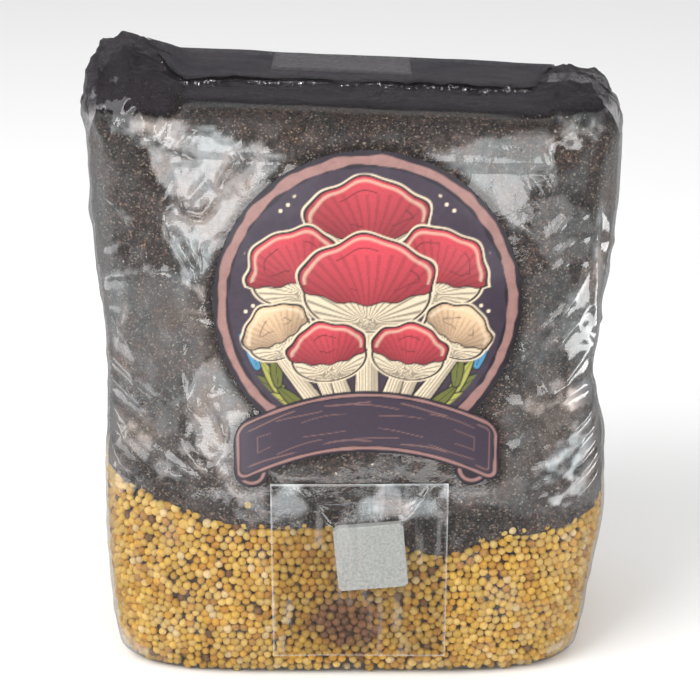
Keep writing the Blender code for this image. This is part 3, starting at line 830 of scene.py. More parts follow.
def film_skin():
    """The film bag: the bag's shape with its waves and folds, and how hazy, dark and glossy it is, with
    painted glare, highlights and shade in its veil.
    """
    turn = turns_round(430, 0.52)
    rings = bag_rings(turn, 0.0, 150, 46)
    moved, normal, lift, folds, up, off_front = film_shape(turn, rings)
    x, y, z = rings[:, :, 0], rings[:, :, 1], rings[:, :, 2]
    made = ring_object("film_skin", moved, film_material("clear_film", 0.06, 0.015, CLEAR_TINTS))
    top = smooth_step(0.55, 0.9, normal[:, :, 2])
    ridge = smooth_step(0.5 * MM, 1.3 * MM, lift)
    patchy = 0.5 + 0.5 * noise(rings, 16 * MM, 17, 2)
    # Painted glare and painted highlights on the front, laid on as a veil; folds cut dark crease lines into
    # the glare.
    unfolded = 1 - 0.9 * smooth_step(0.25 * MM, 0.8 * MM, folds)
    veiled = painted_veil(x, up, PAINTED_GLARE) * unfolded * (1 - off_front) * (y < 0)
    veiled += painted_veil(x, up, PAINTED_GLINTS) * (1 - off_front) * (y < 0)
    dusty = noise(rings, 7 * MM, 19, 2) + 0.8 * noise(rings, 1.6 * MM, 20, 2)
    dusty = 0.055 * smooth_step(-0.1, 0.8, dusty)
    broken = smooth_step(-0.4, 0.5, noise(rings, 3 * MM, 22, 2))
    # Painted highlights along the fold ridges, and a faint cloudiness on the sides and back.
    haze_and_painted_light = (0.05 + 0.24 * broken * (1 - off_front)) * ridge + 0.06 * off_front * patchy
    haze_and_painted_light += (veiled + 0.03 * patchy + dusty) * (1 - top) * clear_of_stickers(x, z)
    # Painted shade: a near-black veil in the ears and at the sides above the grain, and a dark one over the
    # folded top.
    dark_top, dark_side = painted_film_shade(x, y, z, normal)
    haze_and_painted_light = np.maximum(haze_and_painted_light * (1 - dark_top), 0.8 * dark_top) + 0.3 * dark_side * (1 - dark_top)
    add_values(made, "haze_and_painted_light", haze_and_painted_light.ravel())
    add_values(made, "shaded", np.maximum(np.minimum(4 * dark_top, 1), 0.8 * dark_side).ravel())
    add_values(made, "gloss", (1.0 - 0.25 * top).ravel())
    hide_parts("film_bag")
    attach(made, "root")
    return made


# ---------------------------------------------------------------- what the bag holds


def grain_height(x, y):
    """The height of the line between the grain and the compost."""
    return through(GRAIN_LINE, x / MM) * MM - GRAIN_BACK_SLOPE * (y - BAG_LOW[1])


def cling_and_shade_mask(rings):
    """1 where damp film clings to the compost and hides its crumbs, and where the compost is darkened as
    painted shade: behind the shoulder and in the ears.
    """
    x, y, z = rings[:, :, 0], rings[:, :, 1], rings[:, :, 2]
    on_top = (0.42 + 0.58 * smooth_step(-36 * MM, -28 * MM, y)) * smooth_step(196 * MM, 203 * MM, z)
    in_ears = smooth_step(66 * MM, 74 * MM, np.abs(x)) * smooth_step(197 * MM, 203 * MM, z)
    return np.maximum(on_top, in_ears)


def compost():
    """The compost's crumbly face, a little inside the film."""
    turn = turns_round(300, 0.5)
    rings = bag_rings(turn, 0.5 * MM, 120, 24, 1.0)
    smeared_and_shaded = cling_and_shade_mask(rings)
    rings, normal, *_ = film_shape(turn, rings, 0.85)
    lift = 0.55 * MM * noise(rings, 3.2 * MM, 31, 3)
    sunk_ears = 3.4 * MM * near_ears(rings[:, :, 0], rings[:, :, 2], 54 * MM)
    rings = rings + normal * (lift * (1 - 0.7 * smeared_and_shaded) - 0.5 * MM - sunk_ears)[:, :, None]
    line = grain_height(rings[:, :, 0], rings[:, :, 1])
    under = rings[:, :, 2] < line
    sunk = smooth_step(0, 3 * MM, line - rings[:, :, 2])
    rings = rings - normal * (sunk * 3.2 * MM)[:, :, None]
    rings[:, :, 2] = np.where(under, np.maximum(rings[:, :, 2], line - 9 * MM), rings[:, :, 2])
    made = ring_object("compost_mass", rings, compost_material())
    add_values(made, "smeared_and_shaded", 0.85 * smeared_and_shaded.ravel())
    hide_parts("compost_block")
    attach(made, "root")
    return made


def unit_sphere(subdivisions):
    """Points and triangles of an icosphere of radius 1."""
    bm = bmesh.new()
    bmesh.ops.create_icosphere(bm, subdivisions=subdivisions, radius=1)
    points = np.array([v.co[:] for v in bm.verts])
    faces = np.array([[v.index for v in f.verts] for f in bm.faces])
    bm.free()
    return points, faces


def random_turns(count, draw):
    """Rotation matrices at random, from random quaternions."""
    q = draw.normal(size=(count, 4))
    q /= np.linalg.norm(q, axis=1, keepdims=True)
    w, x, y, z = q.T
    rows = [
        [1 - 2 * (y * y + z * z), 2 * (x * y - z * w), 2 * (x * z + y * w)],
        [2 * (x * y + z * w), 1 - 2 * (x * x + z * z), 2 * (y * z - x * w)],
        [2 * (x * z - y * w), 2 * (y * z + x * w), 1 - 2 * (x * x + y * y)],
    ]
    return np.array(rows).transpose(2, 0, 1)


def strew(name, shape, places, scales, colours, material, draw, smooth=True):
    """One mesh of many copies of a shape, each turned at random, scaled and tinted."""
    points, faces = shape
    turned = np.einsum("nij,nkj->nki", random_turns(len(places), draw), points[None] * scales[:, None, :])
    turned += places[:, None, :]
    index = faces[None] + (np.arange(len(places)) * len(points))[:, None, None]
    made = mesh_object(name, turned.reshape(-1, 3), index.reshape(-1, 3).tolist(), material, smooth)
    add_colours(made, "tint", np.repeat(colours, len(points), axis=0))
    return made


ROUNDS = 9  # how often points are pushed apart
JITTER = 0.33  # how uneven they start, in columns
PUSH = 0.32  # how far they give way each time, as a share of their overlap
ROW_SHARE = 0.87  # the height of a row of close-packed grains, in spacings


def scatter_on_wall(spacing, low, high, draw):
    """Places on the wall at about a spacing apart, as (turn, height), by pushing seeded points apart."""
    turn = fine_turns()
    x, y = on_wall(turn, np.full_like(turn, 40 * MM), 0, 0)
    length = np.concatenate([[0], np.cumsum(np.hypot(np.diff(x), np.diff(y)))])
    round_it = length[-1]
    columns, rows = int(round_it / spacing), int((high - low) / (spacing * ROW_SHARE))
    count = columns * rows
    grid_s, grid_z = np.meshgrid(np.arange(columns) / columns, np.arange(rows) / rows)
    stagger = 0.5 / columns * (np.arange(rows) % 2)[:, None]
    s = (((grid_s + stagger).ravel() + draw.normal(0, JITTER, count) / columns) % 1) * round_it
    z = low + (grid_z.ravel() + draw.uniform(0, 1, count) / rows) * (high - low)
    cells = max(int(round_it / (3 * spacing)), 1)
    for _ in range(ROUNDS):
        order = np.argsort(s)
        s, z = s[order], z[order]
        push_s, push_z = np.zeros(count), np.zeros(count)
        edges = np.searchsorted(s, np.arange(cells + 1) * round_it / cells)
        for c in range(cells):
            mine = np.arange(edges[c], edges[c + 1])
            if len(mine) == 0:
                continue
            before = np.arange(edges[c - 1], edges[c]) if c > 0 else np.arange(edges[-2], edges[-1])
            after = np.arange(edges[c + 1], edges[c + 2]) if c + 2 <= cells else np.arange(0, edges[1])
            near = np.concatenate([before, mine, after])
            ds = s[mine][:, None] - s[near][None]
            ds -= round_it * np.round(ds / round_it)
            dz = z[mine][:, None] - z[near][None]
            far = np.hypot(ds, dz)
            push = np.clip(spacing - far, 0, None) / np.maximum(far, 1e-6) * (far > 1e-9)
            push_s[mine] = (push * ds).sum(1)
            push_z[mine] = (push * dz).sum(1)
        s = (s + PUSH * push_s) % round_it
        z = np.clip(z + PUSH * push_z, low, high)
    return np.interp(s, length, turn), z


MILLET_COLOURS = (
    (linear(232, 194, 82), 0.38), (linear(238, 206, 116), 0.24), (linear(222, 174, 56), 0.22),
    (linear(204, 152, 50), 0.09), (linear(242, 220, 164), 0.05), (linear(132, 94, 52), 0.02),
)
STAIN_X, STAIN_Z, STAIN_HALF_X, STAIN_HALF_Z = -1 * MM, 23 * MM, 16 * MM, 13 * MM


def millet_tints(places, draw):
    """A colour for each grain, browner in the stained patch under the port."""
    colours = np.array([c for c, _ in MILLET_COLOURS])
    chance = np.array([w for _, w in MILLET_COLOURS])
    tint = colours[draw.choice(len(colours), len(places), p=chance / chance.sum())]
    tint = tint * draw.uniform(0.82, 1.12, (len(places), 1))
    off_x, off_z = (places[:, 0] - STAIN_X) / STAIN_HALF_X, (places[:, 2] - STAIN_Z) / STAIN_HALF_Z
    stained = smooth_step(0, 0.5, 1 - np.hypot(off_x, off_z) + draw.normal(0, 0.16, len(places)))
    stained *= places[:, 1] < 0
    brown = linear(166, 116, 74) * draw.uniform(0.7, 1.15, (len(places), 1))
    return np.clip(tint * (1 - stained[:, None]) + brown * stained[:, None], 0, 1)


def millet_layer(depth, spacing, seed, low, stray):
    """Places of one layer of grains at a depth inside the film. A share of them, stray, may lie higher."""
    draw = np.random.default_rng(seed)
    turn, z = scatter_on_wall(spacing, low, 82 * MM, draw)
    inset = depth + draw.uniform(0, 0.5, len(z)) * MM
    low_part = np.clip(1 - z / BASE_RADIUS, 0, 1)
    inset += BASE_RADIUS * (1 - np.sqrt(1 - low_part**2))
    x, y = on_wall(turn, z, inset, inset)
    ragged = 1.6 * MM * draw.normal(size=len(z)) * 0.6
    loose = draw.uniform(size=len(z)) < stray
    ragged = np.where(loose, draw.uniform(0, 9 * MM, len(z)), ragged)
    keep = z < grain_height(x, y) + ragged
    return follow_waves(np.stack([x, y, z], 1)[keep]), draw


def millet():
    """The grains against the film, a second layer behind them, and a shaded core."""
    material = millet_material()
    outer_depth, inner_depth = 0.35 * MM + MILLET_SIZE / 2, FILM_INSET + 2.1 * MILLET_SIZE / 2 + 1.1 * MM
    outer, draw = millet_layer(outer_depth, MILLET_SIZE * 0.90, 41, 2.1 * MM, 0.055)
    inner, draw_inner = millet_layer(inner_depth, MILLET_SIZE * 0.95, 43, 4 * MM, 0)
    pieces = []
    fine, rough = unit_sphere(2), unit_sphere(1)
    order = np.argsort(np.arctan2(outer[:, 0], -outer[:, 1]))
    for side, chosen in zip(("left", "right"), np.array_split(order, 2)):
        places = outer[chosen]
        count = len(places)
        size = draw.normal(1.0, 0.075, (count, 1)) * MILLET_SIZE / 2
        shares = [np.ones(count), draw.uniform(0.88, 1.0, count), draw.uniform(0.8, 0.95, count)]
        scales = size * np.stack(shares, 1)
        tints = millet_tints(places, draw)
        pieces.append(strew("millet_" + side, fine, places, scales, tints, material, draw))
    size = draw_inner.normal(1.0, 0.06, (len(inner), 1)) * MILLET_SIZE / 2
    scales = size * np.ones((1, 3))
    # Painted shade: the layer behind is a darker copy of the grains.
    tints = millet_tints(inner, draw_inner) * 0.8
    pieces.append(strew("millet_inner", rough, inner, scales, tints, material, draw_inner))
    core_turn = turns_round(120, 0.5)
    core = bag_rings(core_turn, 4.2 * MM, 20, 6, 0.0)
    core[:, :, 2] = np.minimum(core[:, :, 2], grain_height(core[:, :, 0], core[:, :, 1]) - 3 * MM)
    pieces.append(ring_object("millet_core", core, backing_material()))
    for piece in pieces:
        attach(piece, "root")
    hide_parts("grain_bed")
    return pieces


CRUMB_COLOURS = (
    (linear(26, 20, 19), 0.36), (linear(46, 37, 35), 0.24), (linear(82, 68, 62), 0.12),
    (linear(124, 98, 78), 0.10), (linear(196, 172, 134), 0.07), (linear(232, 222, 200), 0.05),
    (linear(106, 62, 44), 0.06),
)
CRUMBS_ON_WALL, CRUMBS_OVER_SHOULDER = 15500, 2600


def octahedron():
    """Points and triangles of an octahedron of radius 1."""
    corners = np.array([[1, 0, 0], [-1, 0, 0], [0, 1, 0], [0, -1, 0], [0, 0, 1], [0, 0, -1]], float)
    upper = [[0, 2, 4], [2, 1, 4], [1, 3, 4], [3, 0, 4]]
    lower = [[2, 0, 5], [1, 2, 5], [3, 1, 5], [0, 3, 5]]
    return corners, np.array(upper + lower)


def crumbs():
    """Loose crumbs and pale bits of the compost that press against the film."""
    draw = np.random.default_rng(57)
    count = CRUMBS_ON_WALL
    turn = draw.choice(turns_round(4000, 0.62), count)
    z = draw.uniform(45 * MM, 204 * MM, count)
    inset = draw.uniform(0.6, 1.4, count) * MM + 0.9 * MM * smooth_step(172 * MM, 188 * MM, z)
    x, y = on_wall(turn, z, inset, inset)
    ceiling = top_height(x, y, 0.6) - SHOULDER_RISE
    keep = (z > grain_height(x, y) + 0.5 * MM) & (z < ceiling) & ((z < 190 * MM) | (np.abs(x) < 54 * MM))
    places = follow_waves(np.stack([x, y, z], 1)[keep])
    count = CRUMBS_OVER_SHOULDER
    top_x = draw.uniform(-78, 79, count) * MM
    into = draw.uniform(0.12, 1.15, count)
    top_y = front_y(top_x, np.full_like(top_x, TOP_Z)) + into * SHOULDER_DEEP
    drop = SHOULDER_RISE * (1 - np.sqrt(1 - np.clip(1 - into, 0, 1) ** 2))
    over = np.stack([top_x, top_y, top_height(top_x, top_y) - drop - draw.uniform(1.3, 2.1, count) * MM], 1)
    places = np.concatenate([places, over])
    colours = np.array([c for c, _ in CRUMB_COLOURS])
    chance = np.array([w for _, w in CRUMB_COLOURS])
    pick = draw.choice(len(colours), len(places), p=chance / chance.sum())
    size = np.exp(draw.normal(math.log(0.36), 0.45, (len(places), 1))) * MM
    size = np.minimum(np.where(pick[:, None] >= 4, size * 0.7, size), 0.7 * MM)
    scales = size * draw.uniform(0.65, 1.15, (len(places), 3))
    tint = np.clip(colours[pick] * draw.uniform(0.7, 1.2, (len(places), 1)), 0, 1)
    made = strew("compost_crumbs", octahedron(), places, scales, tint, crumb_material(), draw, False)
    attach(made, "root")
    return made


# ---------------------------------------------------------------- label, port, patches

PLUM = linear(62, 50, 66)
DARK_PLUM = linear(38, 30, 42)
RING_TAN = linear(156, 116, 110)
PINK = linear(204, 62, 76)
CREAM = linear(232, 214, 184)
SAND = linear(222, 186, 148)
INK = linear(24, 18, 26)
OLIVE, LIME, SKY = linear(104, 108, 44), linear(168, 166, 74), linear(70, 138, 176)

# Leaves as (across, up, lean, length, tone) and spore dots as (across, up), in mm, mirrored on both sides.
LEAVES = (
    (36, -14, 0.95, 9, SKY), (37, -20, 0.30, 13, SKY), (27, -30, 1.05, 15, OLIVE), (27, -32, 0.55, 17, LIME),
    (22, -34, 1.25, 15, LIME), (20, -36, 0.85, 14, OLIVE), (30, -26, 0.10, 12, OLIVE),
)
SPORES = ((26, 35), (28.5, 33), (24, 38), (40, 22), (41, 19), (38, 1), (40.5, -1), (39, -4.5), (15, 44))


def cover(base, colour, inside, soft=0.22 * MM):
    """Paints a colour where inside is positive, with an edge as soft as print."""
    share = smooth_step(-soft, soft, inside)[:, None]
    return base * (1 - share) + np.asarray(colour) * share


def fan_cap(u, v, middle, size, tilt):
    """A fan-shaped cap: how far inside its top and its underside a point is, its angle and its height."""
    c, s = math.cos(tilt), math.sin(tilt)
    du, dv = u - middle[0], v - middle[1]
    a, b = (du * c + dv * s) / size[0], (-du * s + dv * c) / size[1]
    angle = np.arctan2(a, b + 0.75)
    scallop = 1 + 0.045 * np.cos(9 * angle + middle[0] * 400) + 0.025 * np.cos(16 * angle + 1)
    dome = (1 - np.hypot(a, b + 0.05) / scallop) * min(size)
    hem = (b + 0.36 - 0.30 * a**2 + 0.03 * np.cos(14 * a)) * size[1]
    under = (1 - np.hypot(a / 0.93, (b + 0.18) / 0.74)) * min(size)
    return np.minimum(dome, hem), under, angle, b


def paint_stem(colour, u, v, top, foot, width):
    """A pale fluted stem with a dark outline."""
    (ax, az), (bx, bz) = top, foot
    distance, t, side = segment_distance(u, v, (ax * MM, az * MM), (bx * MM, bz * MM))
    inside = (width + 1.3 * t) * MM - distance
    colour = cover(colour, INK, inside + 0.55 * MM)
    colour = cover(colour, CREAM, inside)
    shade = smooth_step(0.2 * MM, 2.2 * MM, distance) * (side > 0) * 0.45 * (inside > 0)
    colour = colour * (1 - shade[:, None])
    flute = 0.12 * MM - np.abs((distance / MM * 1.0) % 1.0 - 0.5) * 0.5 * MM
    return cover(colour, CREAM * 0.42, np.minimum(flute, inside - 0.4 * MM), 0.1 * MM)


def paint_cap(colour, u, v, middle, size, tilt, tone):
    """One cap: a shaded top with fine streaks, a pale rim, and a gilled underside."""
    top, under, angle, b = fan_cap(u, v, middle, size, tilt)
    whole = np.maximum(top, under)
    colour = cover(colour, CREAM, whole + 1.25 * MM)
    colour = cover(colour, INK, whole + 0.7 * MM)
    colour = cover(colour, CREAM * 0.92, under)
    gill = np.abs(np.sin(angle * 17)) * (1.2 + b)
    colour = cover(colour, CREAM * 0.35, np.minimum(0.22 * MM - gill * 0.6 * MM, under - 0.3 * MM), 0.12 * MM)
    colour = cover(colour, INK, np.minimum(top + 0.45 * MM, under + 0.4 * MM))
    shade = np.clip(0.80 + 0.42 * b - 0.25 * np.abs(np.sin(angle)), 0.35, 1.15)
    streak = 1 - 0.22 * (np.sin(angle * 46 + 3 * b) > 0.45) * (b < 0.62)
    inside = smooth_step(-0.2 * MM, 0.2 * MM, top)[:, None]
    colour = colour * (1 - inside) + np.asarray(tone) * (shade * streak)[:, None] * inside
    rim = smooth_step(0.5 * MM, 1.0 * MM, top) * smooth_step(2.1 * MM, 1.2 * MM, top) * (b > 0.02)
    colour = colour * (1 - 0.5 * rim[:, None]) + CREAM * 0.5 * rim[:, None]
    fold = np.abs(top - 4.2 * MM) - 0.18 * MM
    broken = (np.sin(angle * 7 + middle[1] * 300) > -0.1) * (b > -0.1)
    return cover(colour, np.asarray(tone) * 0.30, np.where(broken > 0, -fold, -1 * MM), 0.15 * MM)


def paint_leaf(colour, u, v, foot, tip, width, tone):
    """A pointed leaf with a dark outline and a midrib."""
    distance, t, _ = segment_distance(u, v, foot, tip)
    inside = width * np.sin(math.pi * np.clip(0.18 + 0.82 * t, 0, 1)) ** 0.8 - distance
    colour = cover(colour, INK, inside + 0.5 * MM)
    colour = cover(colour, tone, inside)
    return cover(colour, tone * 0.4, np.minimum(0.16 * MM - distance, inside), 0.1 * MM)


# Stems as (top, foot, half width) and caps as (middle, half size, tilt, tone), in mm from the disc's middle.
STEMS = (
    ((-20, -12), (-7, -40), 2.2), ((20, -12), (7, -40), 2.2), ((-31, -14), (-11, -41), 1.8),
    ((31, -14), (11, -41), 1.8), ((0, -2), (0, -41), 2.9), ((-12, -18), (-4, -41), 2.0),
    ((12, -18), (4, -41), 2.0),
)
CAPS = (
    ((0, 29), (20, 15), 0.0, PINK * 0.85), ((-24, 14), (16, 13), 0.35, PINK * 0.9),
    ((24, 14), (16, 13), -0.35, PINK * 0.9), ((-30, -8), (11.5, 9.5), 0.5, SAND),
    ((30, -8), (11.5, 9.5), -0.5, SAND), ((0, 8), (22, 17), 0.0, PINK),
    ((-13, -15), (13, 10.5), 0.15, PINK * 0.92), ((14, -15), (12.5, 10), -0.15, PINK * 0.92),
)


def paint_cluster(colour, u, v):
    """A cluster of oyster mushrooms over leaves: stems, then caps from the back to the front."""
    for side in (-1, 1):
        for x, z, lean, reach, tone in LEAVES:
            foot = (side * x * MM, z * MM)
            tip = (side * (x + reach * math.sin(lean)) * MM, (z + reach * math.cos(lean)) * MM)
            colour = paint_leaf(colour, u, v, foot, tip, 1.9 * MM, tone)
        for x, z in SPORES:
            colour = cover(colour, CREAM, 0.62 * MM - np.hypot(u - side * x * MM, v - z * MM))
    for top, foot, width in STEMS:
        colour = paint_stem(colour, u, v, top, foot, width)
    for middle, size, tilt, tone in CAPS:
        colour = paint_cap(colour, u, v, np.array(middle) * MM, np.array(size) * MM, tilt, tone)
    return colour


def paint_label(x, z):
    """The print: a plum disc in a rough tan ring, a cluster of oyster mushrooms, and an empty ribbon."""
    points = seen_flat(x, z)
    rough = noise(points, 5 * MM, 71, 2) * 0.5 * MM
    u, v = x - LABEL_X, z - LABEL_Z
    radius = np.hypot(u, v)
    colour = np.tile(DARK_PLUM, (len(x), 1))
    grain = noise(points, 2 * MM, 75, 2)[:, None]
    ring = np.minimum(LABEL_RADIUS - 1.6 * MM - radius, radius - LABEL_RADIUS + 4.6 * MM)
    colour = cover(colour, RING_TAN, ring + rough)
    colour = cover(colour, PLUM, LABEL_RADIUS - 5.4 * MM - radius + rough)
    colour = colour * (1 + 0.10 * grain)
    inner = smooth_step(0, 1 * MM, LABEL_RADIUS - 7 * MM - radius)[:, None]
    colour = colour * (1 - inner) + paint_cluster(colour, u, v + 1 * MM) * inner
    across = u / RIBBON_HALF_LENGTH
    below = RIBBON_CROWN - RIBBON_SAG * across**2 - z
    ends = RIBBON_HALF_LENGTH - np.abs(u)
    ribbon = rounded(np.minimum(below, RIBBON_HEIGHT - below), ends, RIBBON_CORNER)
    for curl_x, curl_z in CURLS:
        curl = CURL_RADIUS - np.hypot(x - curl_x, z - curl_z)
        colour = cover(colour, DARK_PLUM, curl)
        colour = cover(colour, RING_TAN, np.minimum(curl - 1.1 * MM, 2.2 * MM - curl) + rough * 0.3)
    colour = cover(colour, DARK_PLUM, ribbon)
    colour = cover(colour, RING_TAN, np.minimum(ribbon - 1.0 * MM, 1.9 * MM - ribbon) + rough * 0.3)
    colour = cover(colour, PLUM, ribbon - 2.4 * MM)
    for offset, thin, phase in ((4.0, 0.26, 0.0), (5.4, 0.18, 2.0), (8.2, 0.14, 4.1)):
        wander = 0.5 * MM * np.sin(across * 9 + phase)
        broken = MM * np.clip(np.sin(across * 11 + phase * 2) - 0.2, 0, 1)
        line = thin * MM - np.abs(ribbon - offset * MM + wander) - broken
        colour = cover(colour, RING_TAN * 0.62, line, 0.12 * MM)
    return np.clip(colour, 0, 1)


def conforming_sheet(name, inside, low, high, step, lift, material, extra=None):
    """A sheet on the front, cut from a grid where inside is positive, its edge snapped to the outline."""
    columns = np.arange(low[0] - 2 * step, high[0] + 2 * step, step)
    rows = np.arange(low[1] - 2 * step, high[1] + 2 * step, step)
    x, z = np.meshgrid(columns, rows)
    x, z = x.ravel(), z.ravel()
    tiny = step / 50
    for _ in range(3):
        value = inside(x, z)
        slope_x = (inside(x + tiny, z) - inside(x - tiny, z)) / (2 * tiny)
        slope_z = (inside(x, z + tiny) - inside(x, z - tiny)) / (2 * tiny)
        steep = np.maximum(slope_x**2 + slope_z**2, 0.2)
        close = np.abs(value) < 0.75 * step
        x = np.where(close, x - value * slope_x / steep, x)
        z = np.where(close, z - value * slope_z / steep, z)
    keep = inside(x, z) > -0.1 * step
    y = front_y(x, z)
    points = np.stack([x, y, z], 1)
    points[:, 1] -= soft_waves(points) + lift
    if extra is not None:
        points[:, 1] -= extra(x, z)
    faces = grid_faces(len(rows), len(columns), False)
    faces = faces[keep[faces].all(1)]
    used = np.unique(faces)
    index = np.full(len(x), -1)
    index[used] = np.arange(len(used))
    made = mesh_object(name, points[used], index[faces].tolist(), material)
    return made, x[used], z[used]


def label():
    """The printed label, stuck to the film."""
    low, high = (LABEL_LOW[0], LABEL_LOW[2]), (LABEL_HIGH[0], LABEL_HIGH[2])
    made, x, z = conforming_sheet("label_print", in_label, low, high, 0.40 * MM, 0.5 * MM, label_material())
    add_colours(made, "print", paint_label(x, z))
    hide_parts("front_label")
    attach(made, "root")
    return made


# The patch's pulled folds, as (route in mm across and up, width, height).
PATCH_FOLDS = (
    (((-5, 64), (-13, 72), (-19, 78)), 1.3, 1.0),
    (((19, 65), (24, 71), (29, 79)), 1.3, 1.1),
    (((21, 38), (27, 30), (31, 22)), 1.3, 0.5),
    (((-6, 37), (-14, 28), (-20, 18)), 1.4, 0.5),
    (((-20, 74), (0, 76), (26, 74)), 1.6, 0.6),
    (((29, 78), (30, 60), (29, 40)), 1.2, 0.5),
)


def patch_rise(x, z):
    """How far the patch stands off: flat over the port, a soft tent round it, and its pulled folds."""
    away = port_away(x, z)
    rise = (PORT_HIGH[1] - PORT_LOW[1] + 0.1 * MM) * (1 - smooth_step(0, 8 * MM, away)) * 0.93
    for route, width, height in PATCH_FOLDS:
        rise += crease(x, z, np.array(route) * MM, width * MM, height * MM)
    edge = smooth_step(0, 2 * MM, in_patch(x, z))
    return rise * edge


def patch():
    """The clear adhesive sheet over the port, with streaks and trapped bubbles, whose cloudy veil is partly
    painted glare.
    """
    low, high = (PATCH_LOW[0], PATCH_LOW[2]), (PATCH_HIGH[0], PATCH_HIGH[2])
    film = film_material("clear_patch", 0.10, 0.0, CLEAR_TINTS)
    made, x, z = conforming_sheet("patch_sheet", in_patch, low, high, 0.7 * MM, 0.45 * MM, film, patch_rise)
    edge = smooth_step(0.8 * MM, 0.0, in_patch(x, z))
    flat = seen_flat(x, z)
    streaks = smooth_step(0.15, 0.6, noise(flat * np.array([1, 1, 0.13]), 1.8 * MM, 92, 2))
    streaks *= smooth_step(-0.2, 0.5, noise(flat, 12 * MM, 93, 2))
    bubble = smooth_step(-0.1, 0.5, noise(flat, 7 * MM, 91, 2))
    # Bubbles trapped above the port; their cloudy veil is partly painted glare.
    air_and_glare = bubble * smooth_step(0, 6 * MM, z - (PORT_CENTRE[2] + PORT_HALF))
    add_values(made, "haze_and_painted_light", 0.5 * edge + 0.34 * air_and_glare + 0.16 * streaks)
    add_values(made, "gloss", 1.0 + 0.3 * air_and_glare)
    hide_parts("port_patch")
    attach(made, "root")
    return made


def flap_line(x):
    """Where the folded top's hem lies: a slightly wavy line across the top."""
    points = np.stack([x, 0 * x, 0 * x], 1)
    tucked = 30 * MM * smooth_step(60 * MM, 77 * MM, np.abs(x))
    ragged = 2.0 * noise(points, 14 * MM, 101, 3) + 1.6 * noise(points, 4 * MM, 102, 3)
    return -6.5 * MM + ragged * MM + 0.05 * x + tucked


FLAP_HALF_WIDTH = 75  # in mm
FLAP_HANG = 45 * MM  # from the back of the top, over the shoulder and down the back
FLAP_CLEARANCE = 2.8 * MM  # from the back


def top_flap():
    """The bag's neck, folded flat over the top and down the back, in a darker doubled film."""
    columns = np.linspace(-FLAP_HALF_WIDTH, FLAP_HALF_WIDTH, 180) * MM
    rows = np.linspace(0, 1, 90)
    back_of_top = BAG_HIGH[1] * BACK_SIDE[-1][1] / max(half for _, half in BACK_SIDE)
    shoulder_y = back_of_top - SHOULDER_DEEP
    x = np.tile(columns, (len(rows), 1))
    start = flap_line(columns)[None]
    run = rows[:, None] * (shoulder_y - start + FLAP_HANG)
    y = start + np.minimum(run, shoulder_y - start)
    over = np.clip(run - (shoulder_y - start), 0, None)
    quarter = math.pi / 2 * SHOULDER_DEEP
    t = np.clip(over / quarter, 0, 1) * math.pi / 2
    y = y + SHOULDER_DEEP * np.sin(t) + FLAP_CLEARANCE * np.sin(t)
    z = top_height(x, np.minimum(y, shoulder_y)) + 1.5 * MM
    z = z - SHOULDER_RISE * (1 - np.cos(t)) - np.clip(over - quarter, 0, None)
    flat = np.stack([x.ravel(), y.ravel(), z.ravel()], 1)
    wrinkle = 0.3 * MM * noise(flat * np.array([0.5, 1, 1]), 10 * MM, 105, 2)
    hem = 0.5 * MM * np.exp(-((run.ravel() / (1.6 * MM)) ** 2))
    flat[:, 2] += wrinkle + hem - 0.5 * MM * smooth_step(3 * MM, 0, run.ravel())
    faces = grid_faces(len(rows), len(columns), False)
    made = mesh_object("top_flap", flat, faces.tolist(), film_material("doubled_film", 0.2, 0.8, DARK_TINTS))
    near_hem = smooth_step(6 * MM, 0.2 * MM, run.ravel() + 2.5 * MM * noise(flat, 2.5 * MM, 106, 3))
    over_filter = np.minimum(flat[:, 0] - FILTER_LOW[0], FILTER_HIGH[0] - flat[:, 0]) + 1 * MM
    over_filter = smooth_step(0, 2.5 * MM, np.minimum(over_filter, flat[:, 1] - FILTER_LOW[1] + 2 * MM))
    add_values(made, "haze_and_painted_light", -0.55 * near_hem - 0.24 * over_filter)
    add_values(made, "gloss", np.full(len(flat), 0.6))
    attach(made, "root")
    return made


def water_material():
    """Clear water beads."""
    m = Nodes("water_beads")
    return m.surface((1, 1, 1, 1), 0.05, Transmission_Weight=1.0, IOR=1.33)


def droplets():
    """Beads of condensation along the hem of the flap."""
    draw = np.random.default_rng(63)
    count = 260
    x = draw.uniform(-78, 80, count) * MM
    y = flap_line(x) - np.abs(draw.normal(0, 1.6, count)) * MM
    z = top_height(x, y) + 0.5 * MM
    size = np.exp(draw.normal(math.log(0.33), 0.4, (count, 1))) * MM
    places = np.stack([x, y, z], 1)
    scales = size * np.array([[1, 1, 0.7]])
    made = strew("droplets", unit_sphere(2), places, scales, np.ones((count, 3)), water_material(), draw)
    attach(made, "root")
    return made


def dress_cad_nodes():
    """The port and the breather patch keep their CAD shapes and get their materials."""
    for node, material in (("injection_port", foam_material()), ("filter_patch", fleece_material())):
        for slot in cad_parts[node].material_slots:
            slot.material = material


# ---------------------------------------------------------------- camera, floor and light


def camera():
    """A camera in front of the bag, looking down at it."""
    distance, pitch = 0.62, math.radians(20)
    target = Vector((0, 0, 107 * MM))
    made = bpy.data.objects.new("camera", bpy.data.cameras.new("camera"))
    made.location = target - distance * Vector((0, math.cos(pitch), -math.sin(pitch)))
    made.rotation_euler = (math.pi / 2 - pitch, 0, 0)
    made.data.lens = 86.2
    made.data.sensor_width = 36
    bpy.context.scene.collection.objects.link(made)
    bpy.context.scene.camera = made


def floor():
    """A pale floor, which the film mirrors as a darker one, as in a studio with black flags."""
    m = Nodes("floor")
    mirrored = m.add("LightPath").outputs["Is Glossy Ray"]
    behind = m.add("SeparateXYZ", {0: m.coordinates()}).outputs[1]
    flagged = m.grey_ramp(m.math("MULTIPLY_ADD", behind, 2.0, 0.5), (0.30, 0.12), (0.60, 0.26))
    colour = m.mix(mirrored, (0.9, 0.9, 0.9), flagged)
    size = 3.0
    corners = [(-size, -size, 0), (size, -size, 0), (size, size, 0), (-size, size, 0)]
    made = mesh_object("floor", corners, [(0, 1, 2, 3)], m.surface(colour, 0.8), False)


